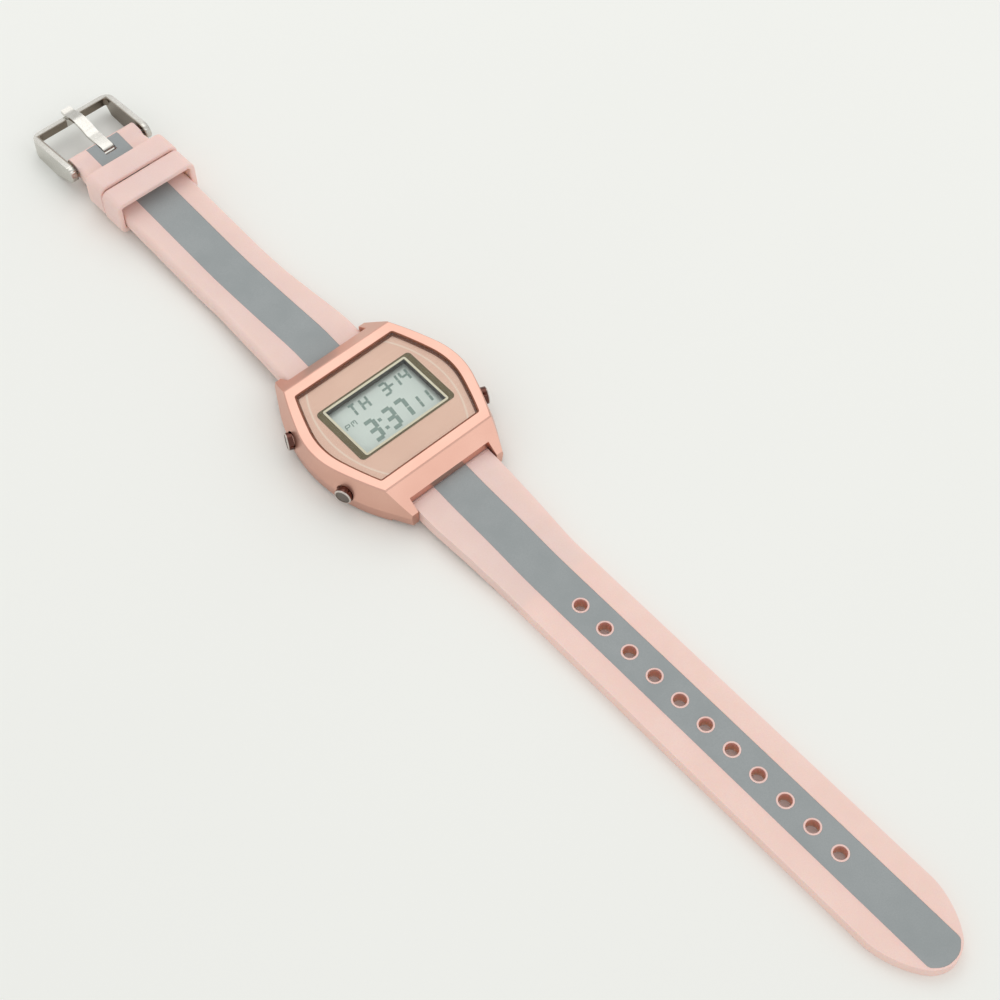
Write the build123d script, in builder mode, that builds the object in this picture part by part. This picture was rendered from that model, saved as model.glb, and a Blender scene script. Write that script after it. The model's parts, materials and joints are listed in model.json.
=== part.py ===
from build123d import *
from math import acos, atan2, cos, degrees, radians, sin
import os

os.makedirs("parts", exist_ok=True)

# Digital wristwatch in millimetres, +Z up, +Y towards twelve o'clock and the buckle.
# The origin is the middle of the case back, on the surface where the watch lies.

# Clearances shared by all pieces
cut_over = 1.0
seat_gap = 0.05
slide_gap = 0.15
pin_gap = 0.05

# Case: levels, half widths and half lengths of its barrel outlines
case_floor_z = 0.6
bulge_z = 3.5
bezel_z = 8.6
bulge_half_width = 18.4
bulge_end_half_width = 14.42
floor_inset = 0.4
bezel_half_width = 18.0
bezel_end_half_width = 13.04
bezel_half_length = 15.2
bulge_shoulder_share = 0.123
bezel_shoulder_share = 0.183
shoulder_y_share = 0.36
bezel_chamfer = 0.2

# Lugs and the pocket between them
lug_reach = 20.64
lug_top_z = 4.55
lug_bottom_z = 1.3
lug_gap_half = 9.75
pocket_depth = 3.94
pocket_roof_z = 4.65
pocket_lip = 2.45
pocket_corner_radius = 0.6

# Crystal, its gasket and the dial
bezel_side_wall = 2.15
bezel_corner_wall = 0.94
bezel_end_wall = 2.18
recess_shoulder_share = 0.187
recess_corner_radius = 0.7
dial_floor_z = 7.4
dial_thick = 0.4
crystal_thick = 0.6
crystal_drop = 0.05
crystal_chamfer = 0.12
gasket_width = 0.3
gasket_drop = 0.2

# Display window: olive trim, pale liner and the panel under them
window_y = 0.3
trim_half_width = 11.55
trim_half_length = 7.1
trim_inner_half_width = 10.25
trim_inner_half_length = 6.75
trim_height = 0.1
trim_corner_radius = 0.9
trim_inner_radius = 0.5
liner_wall = 0.45
liner_height = 0.1
lcd_side_gap = 1.1
lcd_half_length = 7.2
lcd_thick = 0.9
segment_thick = 0.03

# Characters on the panel: slant, widths, stroke and breaks as shares of the height
digit_slant = 0.125
big_width_share = 0.36
top_width_share = 0.46
mark_width_share = 0.7
digit_stroke_share = 0.16
digit_break_share = 0.02
big_digit_height = 5.35
small_digit_height = 3.45
top_digit_height = 3.2
mark_height = 1.3
big_row_y = -1.9
small_row_y = -2.5
top_row_y = 4.2
mark_row_y = 1.8
big_digits = (("3", -4.75), ("3", -0.45), ("7", 2.65))
small_digits = (("1", 6.1), ("1", 8.4))
top_digits = (("T", -4.65), ("H", -2.05), ("3", 2.95), ("-", 4.3), ("1", 6.2), ("4", 7.9))
marks = (("P", -8.1), ("M", -6.65))
colon_x = -2.45
colon_half_gap = 1.17
colon_size = 0.75

# Module: cavity in the case, housing, board and what stands on it
cavity_half_width = 11.7
cavity_half_length = 11.0
cavity_corner_radius = 2.5
module_gap = 0.1
lcd_seat_z = 5.5
guide_half_width = 9.2
guide_half_length = 5.8
guide_thick = 0.4
board_top_z = 4.15
board_thick = 0.6
board_margin = 0.6
strip_half_length = 9.0
strip_width = 0.85
chip_size = 6.0
chip_height = 0.8
chip_y = 1.6
quartz_radius = 0.4
quartz_length = 5.5
quartz_x = -6.5
led_length = 0.8
led_width = 2.4
pocket_gap = 0.1

# Battery, its holder and contacts
battery_radius = 8.0
battery_thick = 1.6
battery_cap_radius = 6.9
battery_cap_height = 0.25
battery_side_gap = 0.5
battery_bottom_z = 1.6
clip_half_width = 2.6
clip_thick = 0.2
contact_thick = 0.15
contact_length = 5.0
contact_width = 2.0

# Buzzer on the case back and its spring
buzzer_radius = 6.5
buzzer_thick = 0.25
buzzer_x = 4.6
buzzer_spring_x = 8.2
buzzer_spring_radius = 0.75
buzzer_wire_radius = 0.12
buzzer_spring_turns = 4

# Case back, its gasket and screws
back_side_wall = 2.1
back_end_half_width = 12.0
back_end_wall = 2.5
back_seat_z = 1.0
back_edge_round = 0.3
groove_inset = 0.35
groove_width = 0.5
groove_depth = 0.35
screw_wall = 1.8
screw_y = 6.6
screw_radius = 0.5
screw_length = 1.9
screw_head_radius = 0.95
screw_head_height = 0.4
screw_head_drop = 0.1
screw_slot_width = 0.25
screw_slot_depth = 0.2

# Pushers: where each axis leaves the case side, and the axis's angle from +X
pusher_x = 17.15
pusher_y = 8.05
pusher_z = 3.95
pusher_turn = 23.5
pusher_travel = 0.5
pusher_reach = 1.05
cap_radius = 1.75
cap_wall = 0.25
cap_skirt_start = -0.2
cap_front_wall = 0.35
cap_round = 0.2
tube_radius = 1.35
tube_reach = 0.1
tube_bore_radius = 0.65
spring_pocket_radius = 0.95
spring_pocket_depth = 1.35
seal_thick = 0.35
stem_radius = 0.6
stem_tail = 0.25
clip_ring_radius = 1.05
clip_ring_thick = 0.25
clip_groove_radius = 0.42
clip_mouth_width = 0.7
push_wire_radius = 0.09
push_spring_turns = 4

# Spring bars
bar_radius = 0.75
tip_radius = 0.4
tip_hole_depth = 1.1
tip_engagement = 0.9
bar_end_gap = 0.5
lug_bar_inset = 2.04
lug_bar_z = 2.9

# Strap pieces: sizes shared by both
strap_lug_half_width = 9.5
strap_half_width = 8.4
strap_lug_thick = 3.2
strap_taper_start = 24.0
strap_taper_end = 43.0
strap_edge_round = 0.4
upright_share = 0.3
across_share = 0.99
edge_middle = 0.5
stripe_half_width = 3.95
stripe_depth = 0.5
stripe_turn = 50
strap_bend_radius = 14.0

# Long strap: heights of its top, its thickness and its pointed end
long_top_points = ((24.5, 3.9), (34.0, 3.65), (43.5, 2.75))
long_thick = 2.75
tail_thick = 2.4
long_reach = 144.85
nose_radius = 5.5
tip_side_radius = 15.9
stripe_rim = 1.5
hole_count = 11
hole_first_y = 54.6
hole_pitch = 6.45
hole_radius = 1.25
hole_rim = 0.2

# Short strap: heights of its top, the straight rise to the buckle and the slot
short_top_points = ((24.5, 5.2), (31.0, 4.6), (43.0, 4.0))
short_thick = 2.8
rise_start_y = 50.0
rise_start_z = 3.75
buckle_bar_y = 92.0
rise_end_z = 6.0
knuckle_radius = 1.8
end_lead = 1.1
end_half_width = 8.15
end_taper_start = 89.2
end_taper_length = 1.2
end_corner_radius = 0.85
slot_half_width = 1.4
slot_gap = 0.15

# Loops: the fixed one is moulded on the short strap, the free one slides
loop_wall = 1.25
loop_top_wall = 1.15
loop_bottom_wall = 1.2
loop_opening = 2.5
loop_corner_radius = 1.6
loop_inner_radius = 0.3
free_loop_start = 73.8
free_loop_length = 5.8
loop_edge_round = 0.3
loop_gap = 0.3
fixed_loop_length = 5.4

# Buckle frame and tongue
frame_half_width = 10.1
frame_wall = 1.4
frame_far_y = 106.1
frame_far_wall = 1.3
frame_far_height = 1.8
frame_top_z = 4.4
frame_corner_radius = 2.2
frame_inner_radius = 0.9
frame_eye_radius = 1.9
frame_foot_start = 97.0
frame_foot_end = 103.8
tongue_half_width = 1.3
tongue_thick = 0.8
tongue_eye_radius = 1.9
tongue_low_y = 99.4
tongue_low_z = 5.05
tongue_high_start = 101.0
tongue_high_end = 102.9
tongue_high_z = 6.0
tongue_rest_gap = 0.2
tongue_rest_lead = 0.5
tongue_tip_y = 107.1
tongue_bend_radius = 0.9
tongue_edge_round = 0.2


def barrel(height, half_width, end_half_width, half_length, shoulder_share, reach=0, corner=0):
    shoulder_x = half_width - shoulder_share * (half_width - end_half_width)
    with BuildSketch(Plane.XY.offset(height)) as face:
        with BuildLine():
            waist = TangentArc((half_width, 0), (shoulder_x, half_length * shoulder_y_share), tangent=(0, 1))
            flank = TangentArc(waist @ 1, (end_half_width, half_length), tangent=waist % 1)
            end = flank @ 1
            if reach:
                way = flank % 1
                horn = Line(end, end + way * ((reach - half_length) / way.Y))
                end = horn @ 1
            Line(end, (0, end.Y))
            mirror(about=Plane.YZ)
            mirror(about=Plane.XZ)
        make_face()
        if corner:
            outer = face.vertices().filter_by(lambda v: abs(v.X) > half_width / 2 and abs(v.Y) > half_length / 2)
            fillet(outer, corner)
    return face.sketch


def block(height, half_width, half_length, corner=0, y=0):
    with BuildSketch(Plane.XY.offset(height)) as face:
        with Locations((0, y)):
            if corner:
                RectangleRounded(2 * half_width, 2 * half_length, corner)
            else:
                Rectangle(2 * half_width, 2 * half_length)
    return face.sketch


def finish(part, name):
    part.part.label = name
    export_step(part.part, f"parts/{name}.step")


# Sizes that follow from the case
pocket_back = lug_reach - pocket_depth
pocket_mouth = lug_reach - pocket_lip
lug_bar_y = lug_reach - lug_bar_inset
recess_half_width = bezel_half_width - bezel_side_wall
recess_end_half_width = bezel_end_half_width - bezel_corner_wall
recess_half_length = bezel_half_length - bezel_end_wall
lcd_half_width = cavity_half_width - lcd_side_gap
battery_x = battery_radius + battery_side_gap - cavity_half_width
screw_x = cavity_half_width + screw_wall
back_half_width = screw_x + back_side_wall
back_half_length = pocket_back - back_end_wall

# Heights that follow from the stack
dial_top_z = dial_floor_z + dial_thick
crystal_top_z = bezel_z - crystal_drop
crystal_bottom_z = crystal_top_z - crystal_thick
lcd_top_z = lcd_seat_z + lcd_thick
guide_bottom_z = lcd_seat_z - guide_thick
board_bottom_z = board_top_z - board_thick
housing_half_width = cavity_half_width - module_gap
housing_half_length = cavity_half_length - module_gap
board_half_width = housing_half_width - board_margin
board_half_length = housing_half_length - board_margin
battery_top_z = battery_bottom_z + battery_thick
strip_y = lcd_half_length - strip_width / 2


def pusher_plane(side_x, side_y, out=0):
    turn = radians(pusher_turn)
    way = Vector(side_x * cos(turn), side_y * sin(turn), 0)
    start = Vector(side_x * pusher_x, side_y * pusher_y, pusher_z)
    return Plane(origin=start + way * out, x_dir=(0, 0, 1), z_dir=way)


pushers = {"10": (-1, 1), "8": (-1, -1), "4": (1, -1)}
wall_depth = (pusher_x - cavity_half_width) / cos(radians(pusher_turn))
tube_inner = wall_depth + tube_radius * sin(radians(pusher_turn))
stem_inner = tube_inner + clip_ring_thick + stem_tail
pusher_clear_depth = stem_inner + pusher_travel + pocket_gap
pusher_clear_radius = tube_radius + pocket_gap
well_depth = pusher_travel + slide_gap - cap_skirt_start

# Case with its lugs
with BuildPart() as case_middle:
    bulge = (bulge_half_width, bulge_end_half_width, bezel_half_length, bulge_shoulder_share, lug_reach)
    floor_half = bulge_half_width - floor_inset
    floor_end_half = bulge_end_half_width - floor_inset
    floor_face = barrel(case_floor_z, floor_half, floor_end_half, bezel_half_length, bulge_shoulder_share, lug_reach)
    bezel_face = barrel(bezel_z, bezel_half_width, bezel_end_half_width, bezel_half_length, bezel_shoulder_share, lug_reach)
    loft([floor_face, barrel(bulge_z, *bulge)])
    loft([barrel(bulge_z, *bulge), bezel_face])
    # sloped faces over the lugs
    with BuildSketch(Plane.YZ):
        with BuildLine():
            rise = (bezel_z - lug_top_z) / (lug_reach - bezel_half_length)
            over_y = lug_reach + cut_over
            Polyline(
                (bezel_half_length - cut_over / rise, bezel_z + cut_over),
                (over_y, lug_top_z - cut_over * rise),
                (over_y, bezel_z + cut_over),
                close=True,
            )
        make_face()
        mirror(about=Plane.YZ)
    extrude(amount=bulge_half_width, both=True, mode=Mode.SUBTRACT)
    # undersides of the lugs
    with BuildSketch(Plane.YZ):
        with Locations((pocket_back, 0), (-pocket_back - lug_reach, 0)):
            Rectangle(lug_reach, lug_bottom_z, align=(Align.MIN, Align.MIN))
    extrude(amount=bulge_half_width, both=True, mode=Mode.SUBTRACT)
    # pockets for the strap ends
    with BuildSketch(Plane.YZ):
        with BuildLine():
            FilletPolyline(
                (pocket_back, -cut_over),
                (pocket_back, pocket_roof_z),
                (pocket_mouth, pocket_roof_z),
                radius=pocket_corner_radius,
            )
            Polyline(
                (pocket_mouth, pocket_roof_z),
                (pocket_mouth, bezel_z),
                (over_y, bezel_z),
                (over_y, -cut_over),
                (pocket_back, -cut_over),
            )
        make_face()
        mirror(about=Plane.YZ)
    extrude(amount=lug_gap_half, both=True, mode=Mode.SUBTRACT)
    # recess for the crystal and cavity for the module
    recess = (recess_half_width, recess_end_half_width, recess_half_length, recess_shoulder_share)
    extrude(barrel(dial_floor_z, *recess, corner=recess_corner_radius), amount=bezel_z, mode=Mode.SUBTRACT)
    extrude(
        block(0, cavity_half_width, cavity_half_length, cavity_corner_radius),
        amount=bezel_z,
        mode=Mode.SUBTRACT,
    )
    # seat for the case back, with its gasket groove and tapped holes
    back = (back_half_width, back_end_half_width, back_half_length, bulge_shoulder_share)
    extrude(
        offset(barrel(0, *back), amount=seat_gap, mode=Mode.PRIVATE),
        amount=back_seat_z,
        mode=Mode.SUBTRACT,
    )
    groove_outer = groove_inset + groove_width
    with BuildSketch(Plane.XY.offset(back_seat_z)):
        outer = (cavity_half_width + groove_outer, cavity_half_length + groove_outer)
        inner = (cavity_half_width + groove_inset, cavity_half_length + groove_inset)
        RectangleRounded(2 * outer[0], 2 * outer[1], cavity_corner_radius + groove_outer)
        RectangleRounded(2 * inner[0], 2 * inner[1], cavity_corner_radius + groove_inset, mode=Mode.SUBTRACT)
    extrude(amount=groove_depth, mode=Mode.SUBTRACT)
    screw_tip_z = screw_head_drop + screw_head_height + screw_length
    with Locations((0, 0, back_seat_z)):
        with GridLocations(2 * screw_x, 2 * screw_y, 2, 2):
            Cylinder(
                screw_radius,
                screw_tip_z - back_seat_z + seat_gap,
                align=(Align.CENTER, Align.CENTER, Align.MIN),
                mode=Mode.SUBTRACT,
            )
    # holes for the spring bars
    with BuildSketch(Plane.YZ):
        with Locations((lug_bar_y, lug_bar_z), (-lug_bar_y, lug_bar_z)):
            Circle(tip_radius + pin_gap)
    extrude(amount=lug_gap_half + tip_hole_depth, both=True, mode=Mode.SUBTRACT)
    # bores for the pusher tubes, wider outside for the caps
    for sides in pushers.values():
        with BuildSketch(pusher_plane(*sides, cut_over)):
            Circle(tube_radius)
        extrude(amount=-(cut_over + tube_inner + cut_over), mode=Mode.SUBTRACT)
        with BuildSketch(pusher_plane(*sides, cut_over)):
            Circle(cap_radius + slide_gap)
        extrude(amount=-(cut_over + well_depth), mode=Mode.SUBTRACT)
    chamfer(case_middle.faces().sort_by(Axis.Z)[-1].outer_wire().edges(), bezel_chamfer)
finish(case_middle, "case_middle")

# Crystal
crystal_face = barrel(crystal_bottom_z, *recess, corner=recess_corner_radius)
with BuildPart() as crystal:
    extrude(offset(crystal_face, amount=-gasket_width, mode=Mode.PRIVATE), amount=crystal_thick)
    chamfer(crystal.edges().group_by(Axis.Z)[-1], crystal_chamfer)
finish(crystal, "crystal")

# Gasket between the crystal and the bezel
with BuildPart() as crystal_gasket:
    gasket_height = bezel_z - gasket_drop - dial_top_z
    gasket_face = barrel(dial_top_z, *recess, corner=recess_corner_radius)
    extrude(gasket_face, amount=gasket_height)
    extrude(
        offset(gasket_face, amount=-gasket_width, mode=Mode.PRIVATE),
        amount=gasket_height,
        mode=Mode.SUBTRACT,
    )
finish(crystal_gasket, "crystal_gasket")

# Dial plate with its window
with BuildPart() as dial_plate:
    dial_face = barrel(dial_floor_z, *recess, corner=recess_corner_radius)
    extrude(offset(dial_face, amount=-seat_gap, mode=Mode.PRIVATE), amount=dial_thick)
    extrude(
        block(dial_floor_z, trim_inner_half_width, trim_inner_half_length, trim_inner_radius, window_y),
        amount=dial_thick,
        mode=Mode.SUBTRACT,
    )
finish(dial_plate, "dial_plate")

# Trim round the window
with BuildPart() as window_trim:
    extrude(
        block(dial_top_z, trim_half_width, trim_half_length, trim_corner_radius, window_y),
        amount=trim_height,
    )
    extrude(
        block(dial_top_z, trim_inner_half_width, trim_inner_half_length, trim_inner_radius, window_y),
        amount=trim_height,
        mode=Mode.SUBTRACT,
    )
finish(window_trim, "window_trim")

# Pale liner inside the window
with BuildPart() as window_liner:
    liner_half_width = trim_inner_half_width - seat_gap
    liner_half_length = trim_inner_half_length - seat_gap
    liner_top_z = dial_top_z + liner_height
    extrude(
        block(lcd_top_z, liner_half_width, liner_half_length, trim_inner_radius, window_y),
        amount=liner_top_z - lcd_top_z,
    )
    extrude(
        block(lcd_top_z, liner_half_width - liner_wall, liner_half_length - liner_wall, y=window_y),
        amount=liner_top_z - lcd_top_z,
        mode=Mode.SUBTRACT,
    )
finish(window_liner, "window_liner")

# Display panel
with BuildPart() as lcd_panel:
    extrude(block(lcd_seat_z, lcd_half_width, lcd_half_length), amount=lcd_thick)
finish(lcd_panel, "lcd_panel")

# Strokes of one character, each from one corner of the grid to another, in half heights
strokes = {
    "a": ((-1, 1), (1, 1)),
    "b": ((1, 1), (1, 0)),
    "c": ((1, 0), (1, -1)),
    "d": ((-1, -1), (1, -1)),
    "e": ((-1, 0), (-1, -1)),
    "f": ((-1, 1), (-1, 0)),
    "g": ((-1, 0), (1, 0)),
    "i": ((0, 1), (0, 0)),
    "l": ((0, 0), (0, -1)),
}
glyphs = {
    "1": "il",
    "3": "abcdg",
    "4": "bcfg",
    "7": "abc",
    "-": "g",
    "H": "bcefg",
    "M": "bcefia",
    "P": "abefg",
    "T": "ail",
}


def character(letter, x, y, height, width_share):
    half_stroke = digit_stroke_share * height / 2
    reach_x = width_share * height / 2
    reach_y = height / 2 - half_stroke
    for stroke in glyphs[letter]:
        (x0, y0), (x1, y1) = strokes[stroke]
        flat = y0 == y1
        along = -(half_stroke + digit_break_share * height) if not flat else -digit_break_share * height
        grow_x = along if flat else half_stroke
        grow_y = half_stroke if flat else along + half_stroke
        left, right = min(x0, x1) * reach_x - grow_x, max(x0, x1) * reach_x + grow_x
        low, high = min(y0, y1) * reach_y - grow_y, max(y0, y1) * reach_y + grow_y
        corners = ((left, low), (right, low), (right, high), (left, high))
        Polygon(*[(x + px + digit_slant * py, y + py) for px, py in corners], align=None)


with BuildPart() as lcd_segments:
    rows = (
        (big_digits, big_row_y, big_digit_height, big_width_share),
        (small_digits, small_row_y, small_digit_height, big_width_share),
        (top_digits, top_row_y, top_digit_height, top_width_share),
        (marks, mark_row_y, mark_height, mark_width_share),
    )
    with BuildSketch(Plane.XY.offset(lcd_top_z)):
        for letters, row_y, height, width_share in rows:
            for letter, x in letters:
                character(letter, x, row_y, height, width_share)
        with Locations((colon_x, big_row_y + colon_half_gap), (colon_x, big_row_y - colon_half_gap)):
            Rectangle(colon_size, colon_size)
    extrude(amount=segment_thick)
finish(lcd_segments, "lcd_segments")

# Light guide under the panel and its lamp
with BuildPart() as light_guide:
    extrude(block(guide_bottom_z, guide_half_width, guide_half_length), amount=guide_thick)
finish(light_guide, "light_guide")

led_x = -guide_half_width - pocket_gap - led_length / 2
with BuildPart() as led:
    with Locations((led_x, 0, board_top_z)):
        Box(
            led_length,
            led_width,
            lcd_seat_z - board_top_z - pocket_gap,
            align=(Align.CENTER, Align.CENTER, Align.MIN),
        )
finish(led, "led")

# Rubber connector strips from the board to the panel
with BuildPart() as connector_strips:
    with Locations((0, strip_y, board_top_z), (0, -strip_y, board_top_z)):
        Box(
            2 * strip_half_length,
            strip_width,
            lcd_seat_z - board_top_z,
            align=(Align.CENTER, Align.CENTER, Align.MIN),
        )
finish(connector_strips, "connector_strips")

# Circuit board, notched at the pushers
with BuildPart() as circuit_board:
    extrude(block(board_bottom_z, board_half_width, board_half_length), amount=board_thick)
    for sides in pushers.values():
        with BuildSketch(pusher_plane(*sides)):
            Circle(pusher_clear_radius)
        extrude(amount=-pusher_clear_depth, mode=Mode.SUBTRACT)
finish(circuit_board, "circuit_board")

with BuildPart() as chip:
    with Locations((0, chip_y, board_top_z)):
        Box(chip_size, chip_size, chip_height, align=(Align.CENTER, Align.CENTER, Align.MIN))
finish(chip, "chip")

with BuildPart() as quartz:
    with BuildSketch(Plane.XZ):
        with Locations((quartz_x, board_top_z + quartz_radius)):
            Circle(quartz_radius)
    extrude(amount=quartz_length / 2, both=True)
finish(quartz, "quartz")

# Housing that holds the panel over the board
with BuildPart() as module_housing:
    extrude(
        block(board_bottom_z, housing_half_width, housing_half_length, cavity_corner_radius),
        amount=dial_floor_z - board_bottom_z,
    )
    gap = seat_gap
    pockets = (
        (lcd_seat_z, lcd_half_width + gap, lcd_half_length + gap, dial_floor_z - lcd_seat_z),
        (guide_bottom_z, guide_half_width + gap, guide_half_length + gap, guide_thick),
        (board_bottom_z, board_half_width + gap, board_half_length + gap, board_thick),
    )
    for height, half_width, half_length, depth in pockets:
        extrude(block(height, half_width, half_length), amount=depth, mode=Mode.SUBTRACT)
    web_bottom = (Align.CENTER, Align.CENTER, Align.MIN)
    with Locations((0, strip_y, board_top_z), (0, -strip_y, board_top_z)):
        Box(2 * (strip_half_length + gap), strip_width + gap, lcd_thick, align=web_bottom, mode=Mode.SUBTRACT)
        Box(
            2 * (strip_half_length + gap),
            strip_width + gap,
            lcd_seat_z - board_top_z,
            align=web_bottom,
            mode=Mode.SUBTRACT,
        )
    with Locations((led_x, 0, board_top_z)):
        Box(
            led_length + 2 * pocket_gap,
            led_width + 2 * pocket_gap,
            lcd_seat_z - board_top_z,
            align=web_bottom,
            mode=Mode.SUBTRACT,
        )
    with Locations((0, chip_y, board_top_z)):
        Box(
            chip_size + 2 * pocket_gap,
            chip_size + 2 * pocket_gap,
            chip_height + pocket_gap,
            align=web_bottom,
            mode=Mode.SUBTRACT,
        )
    with Locations((quartz_x, 0, board_top_z)):
        Box(
            2 * (quartz_radius + pocket_gap),
            quartz_length + 2 * pocket_gap,
            guide_bottom_z - board_top_z,
            align=web_bottom,
            mode=Mode.SUBTRACT,
        )
    for sides in pushers.values():
        with BuildSketch(pusher_plane(*sides)):
            Circle(pusher_clear_radius)
        extrude(amount=-pusher_clear_depth, mode=Mode.SUBTRACT)
finish(module_housing, "module_housing")

# Battery with its stepped cap, the holder round it, the clip below and the contact above
with BuildPart() as battery:
    with BuildSketch(Plane.XY.offset(battery_bottom_z)):
        with Locations((battery_x, 0)):
            Circle(battery_radius)
    extrude(amount=battery_thick - battery_cap_height)
    with BuildSketch(Plane.XY.offset(battery_top_z - battery_cap_height)):
        with Locations((battery_x, 0)):
            Circle(battery_cap_radius)
    extrude(amount=battery_cap_height)
finish(battery, "battery")

with BuildPart() as battery_holder:
    extrude(
        block(battery_bottom_z, housing_half_width, housing_half_length, cavity_corner_radius),
        amount=board_bottom_z - battery_bottom_z,
    )
    with BuildSketch(Plane.XY.offset(battery_bottom_z)):
        with Locations((battery_x, 0)):
            Circle(battery_radius + pocket_gap)
        with Locations((buzzer_spring_x, 0)):
            Circle(buzzer_spring_radius + 2 * pocket_gap)
    extrude(amount=board_bottom_z - battery_bottom_z, mode=Mode.SUBTRACT)
    for sides in pushers.values():
        with BuildSketch(pusher_plane(*sides)):
            Circle(pusher_clear_radius)
        extrude(amount=-pusher_clear_depth, mode=Mode.SUBTRACT)
finish(battery_holder, "battery_holder")

with BuildPart() as battery_clip:
    with Locations((battery_x, 0, battery_bottom_z - clip_thick)):
        Box(2 * clip_half_width, 2 * board_half_length, clip_thick, align=web_bottom)
finish(battery_clip, "battery_clip")

with BuildPart() as battery_contact:
    with BuildSketch(Plane.XZ):
        with BuildLine():
            foot_z = battery_top_z + contact_thick / 2
            free_end = (battery_x - contact_length / 2, board_bottom_z - contact_thick / 2)
            Line((battery_x, foot_z), (battery_x + contact_length / 2, foot_z))
            Line((battery_x, foot_z), free_end)
            offset(amount=contact_thick / 2, side=Side.BOTH, kind=Kind.INTERSECTION)
        make_face()
    extrude(amount=contact_width / 2, both=True)
finish(battery_contact, "battery_contact")


# Round spring wire wound about the axis of a plane, from the plane outwards
def coil(plane, radius, wire_radius, turns, length):
    climb = length - 2 * wire_radius
    with BuildPart() as wire:
        with BuildLine():
            turn = Helix(climb / turns, climb, radius, center=(0, 0, wire_radius))
        with BuildSketch(Plane(origin=turn @ 0, z_dir=turn % 0)):
            Circle(wire_radius)
        sweep(path=turn, is_frenet=True)
    with BuildPart() as spring:
        add(wire.part.moved(plane.location))
    return spring


# Buzzer disc and the spring that feeds it
with BuildPart() as buzzer_disc:
    with BuildSketch(Plane.XY.offset(back_seat_z)):
        with Locations((buzzer_x, 0)):
            Circle(buzzer_radius)
    extrude(amount=buzzer_thick)
finish(buzzer_disc, "buzzer_disc")

buzzer_top_z = back_seat_z + buzzer_thick
buzzer_spring = coil(
    Plane(origin=(buzzer_spring_x, 0, buzzer_top_z), z_dir=(0, 0, 1)),
    buzzer_spring_radius - buzzer_wire_radius,
    buzzer_wire_radius,
    buzzer_spring_turns,
    board_bottom_z - buzzer_top_z,
)
finish(buzzer_spring, "buzzer_spring")

# Case back, its gasket and its screws
with BuildPart() as case_back:
    extrude(barrel(0, *back), amount=back_seat_z)
    chamfer(case_back.edges().group_by(Axis.Z)[0], back_edge_round)
    with Locations((0, 0, 0)):
        with GridLocations(2 * screw_x, 2 * screw_y, 2, 2):
            Cylinder(screw_radius + seat_gap, back_seat_z, align=web_bottom, mode=Mode.SUBTRACT)
            Cylinder(
                screw_head_radius + seat_gap,
                screw_head_drop + screw_head_height,
                align=web_bottom,
                mode=Mode.SUBTRACT,
            )
finish(case_back, "case_back")

with BuildPart() as back_gasket:
    with BuildSketch(Plane.XY.offset(back_seat_z)):
        RectangleRounded(2 * outer[0], 2 * outer[1], cavity_corner_radius + groove_outer)
        RectangleRounded(2 * inner[0], 2 * inner[1], cavity_corner_radius + groove_inset, mode=Mode.SUBTRACT)
    extrude(amount=groove_depth)
finish(back_gasket, "back_gasket")

with BuildPart() as back_screws:
    with Locations((0, 0, screw_head_drop)):
        with GridLocations(2 * screw_x, 2 * screw_y, 2, 2):
            Cylinder(screw_head_radius, screw_head_height, align=web_bottom)
            Cylinder(screw_radius, screw_head_height + screw_length, align=web_bottom)
            Box(2 * screw_head_radius, screw_slot_width, screw_slot_depth, align=web_bottom, mode=Mode.SUBTRACT)
finish(back_screws, "back_screws")

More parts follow.
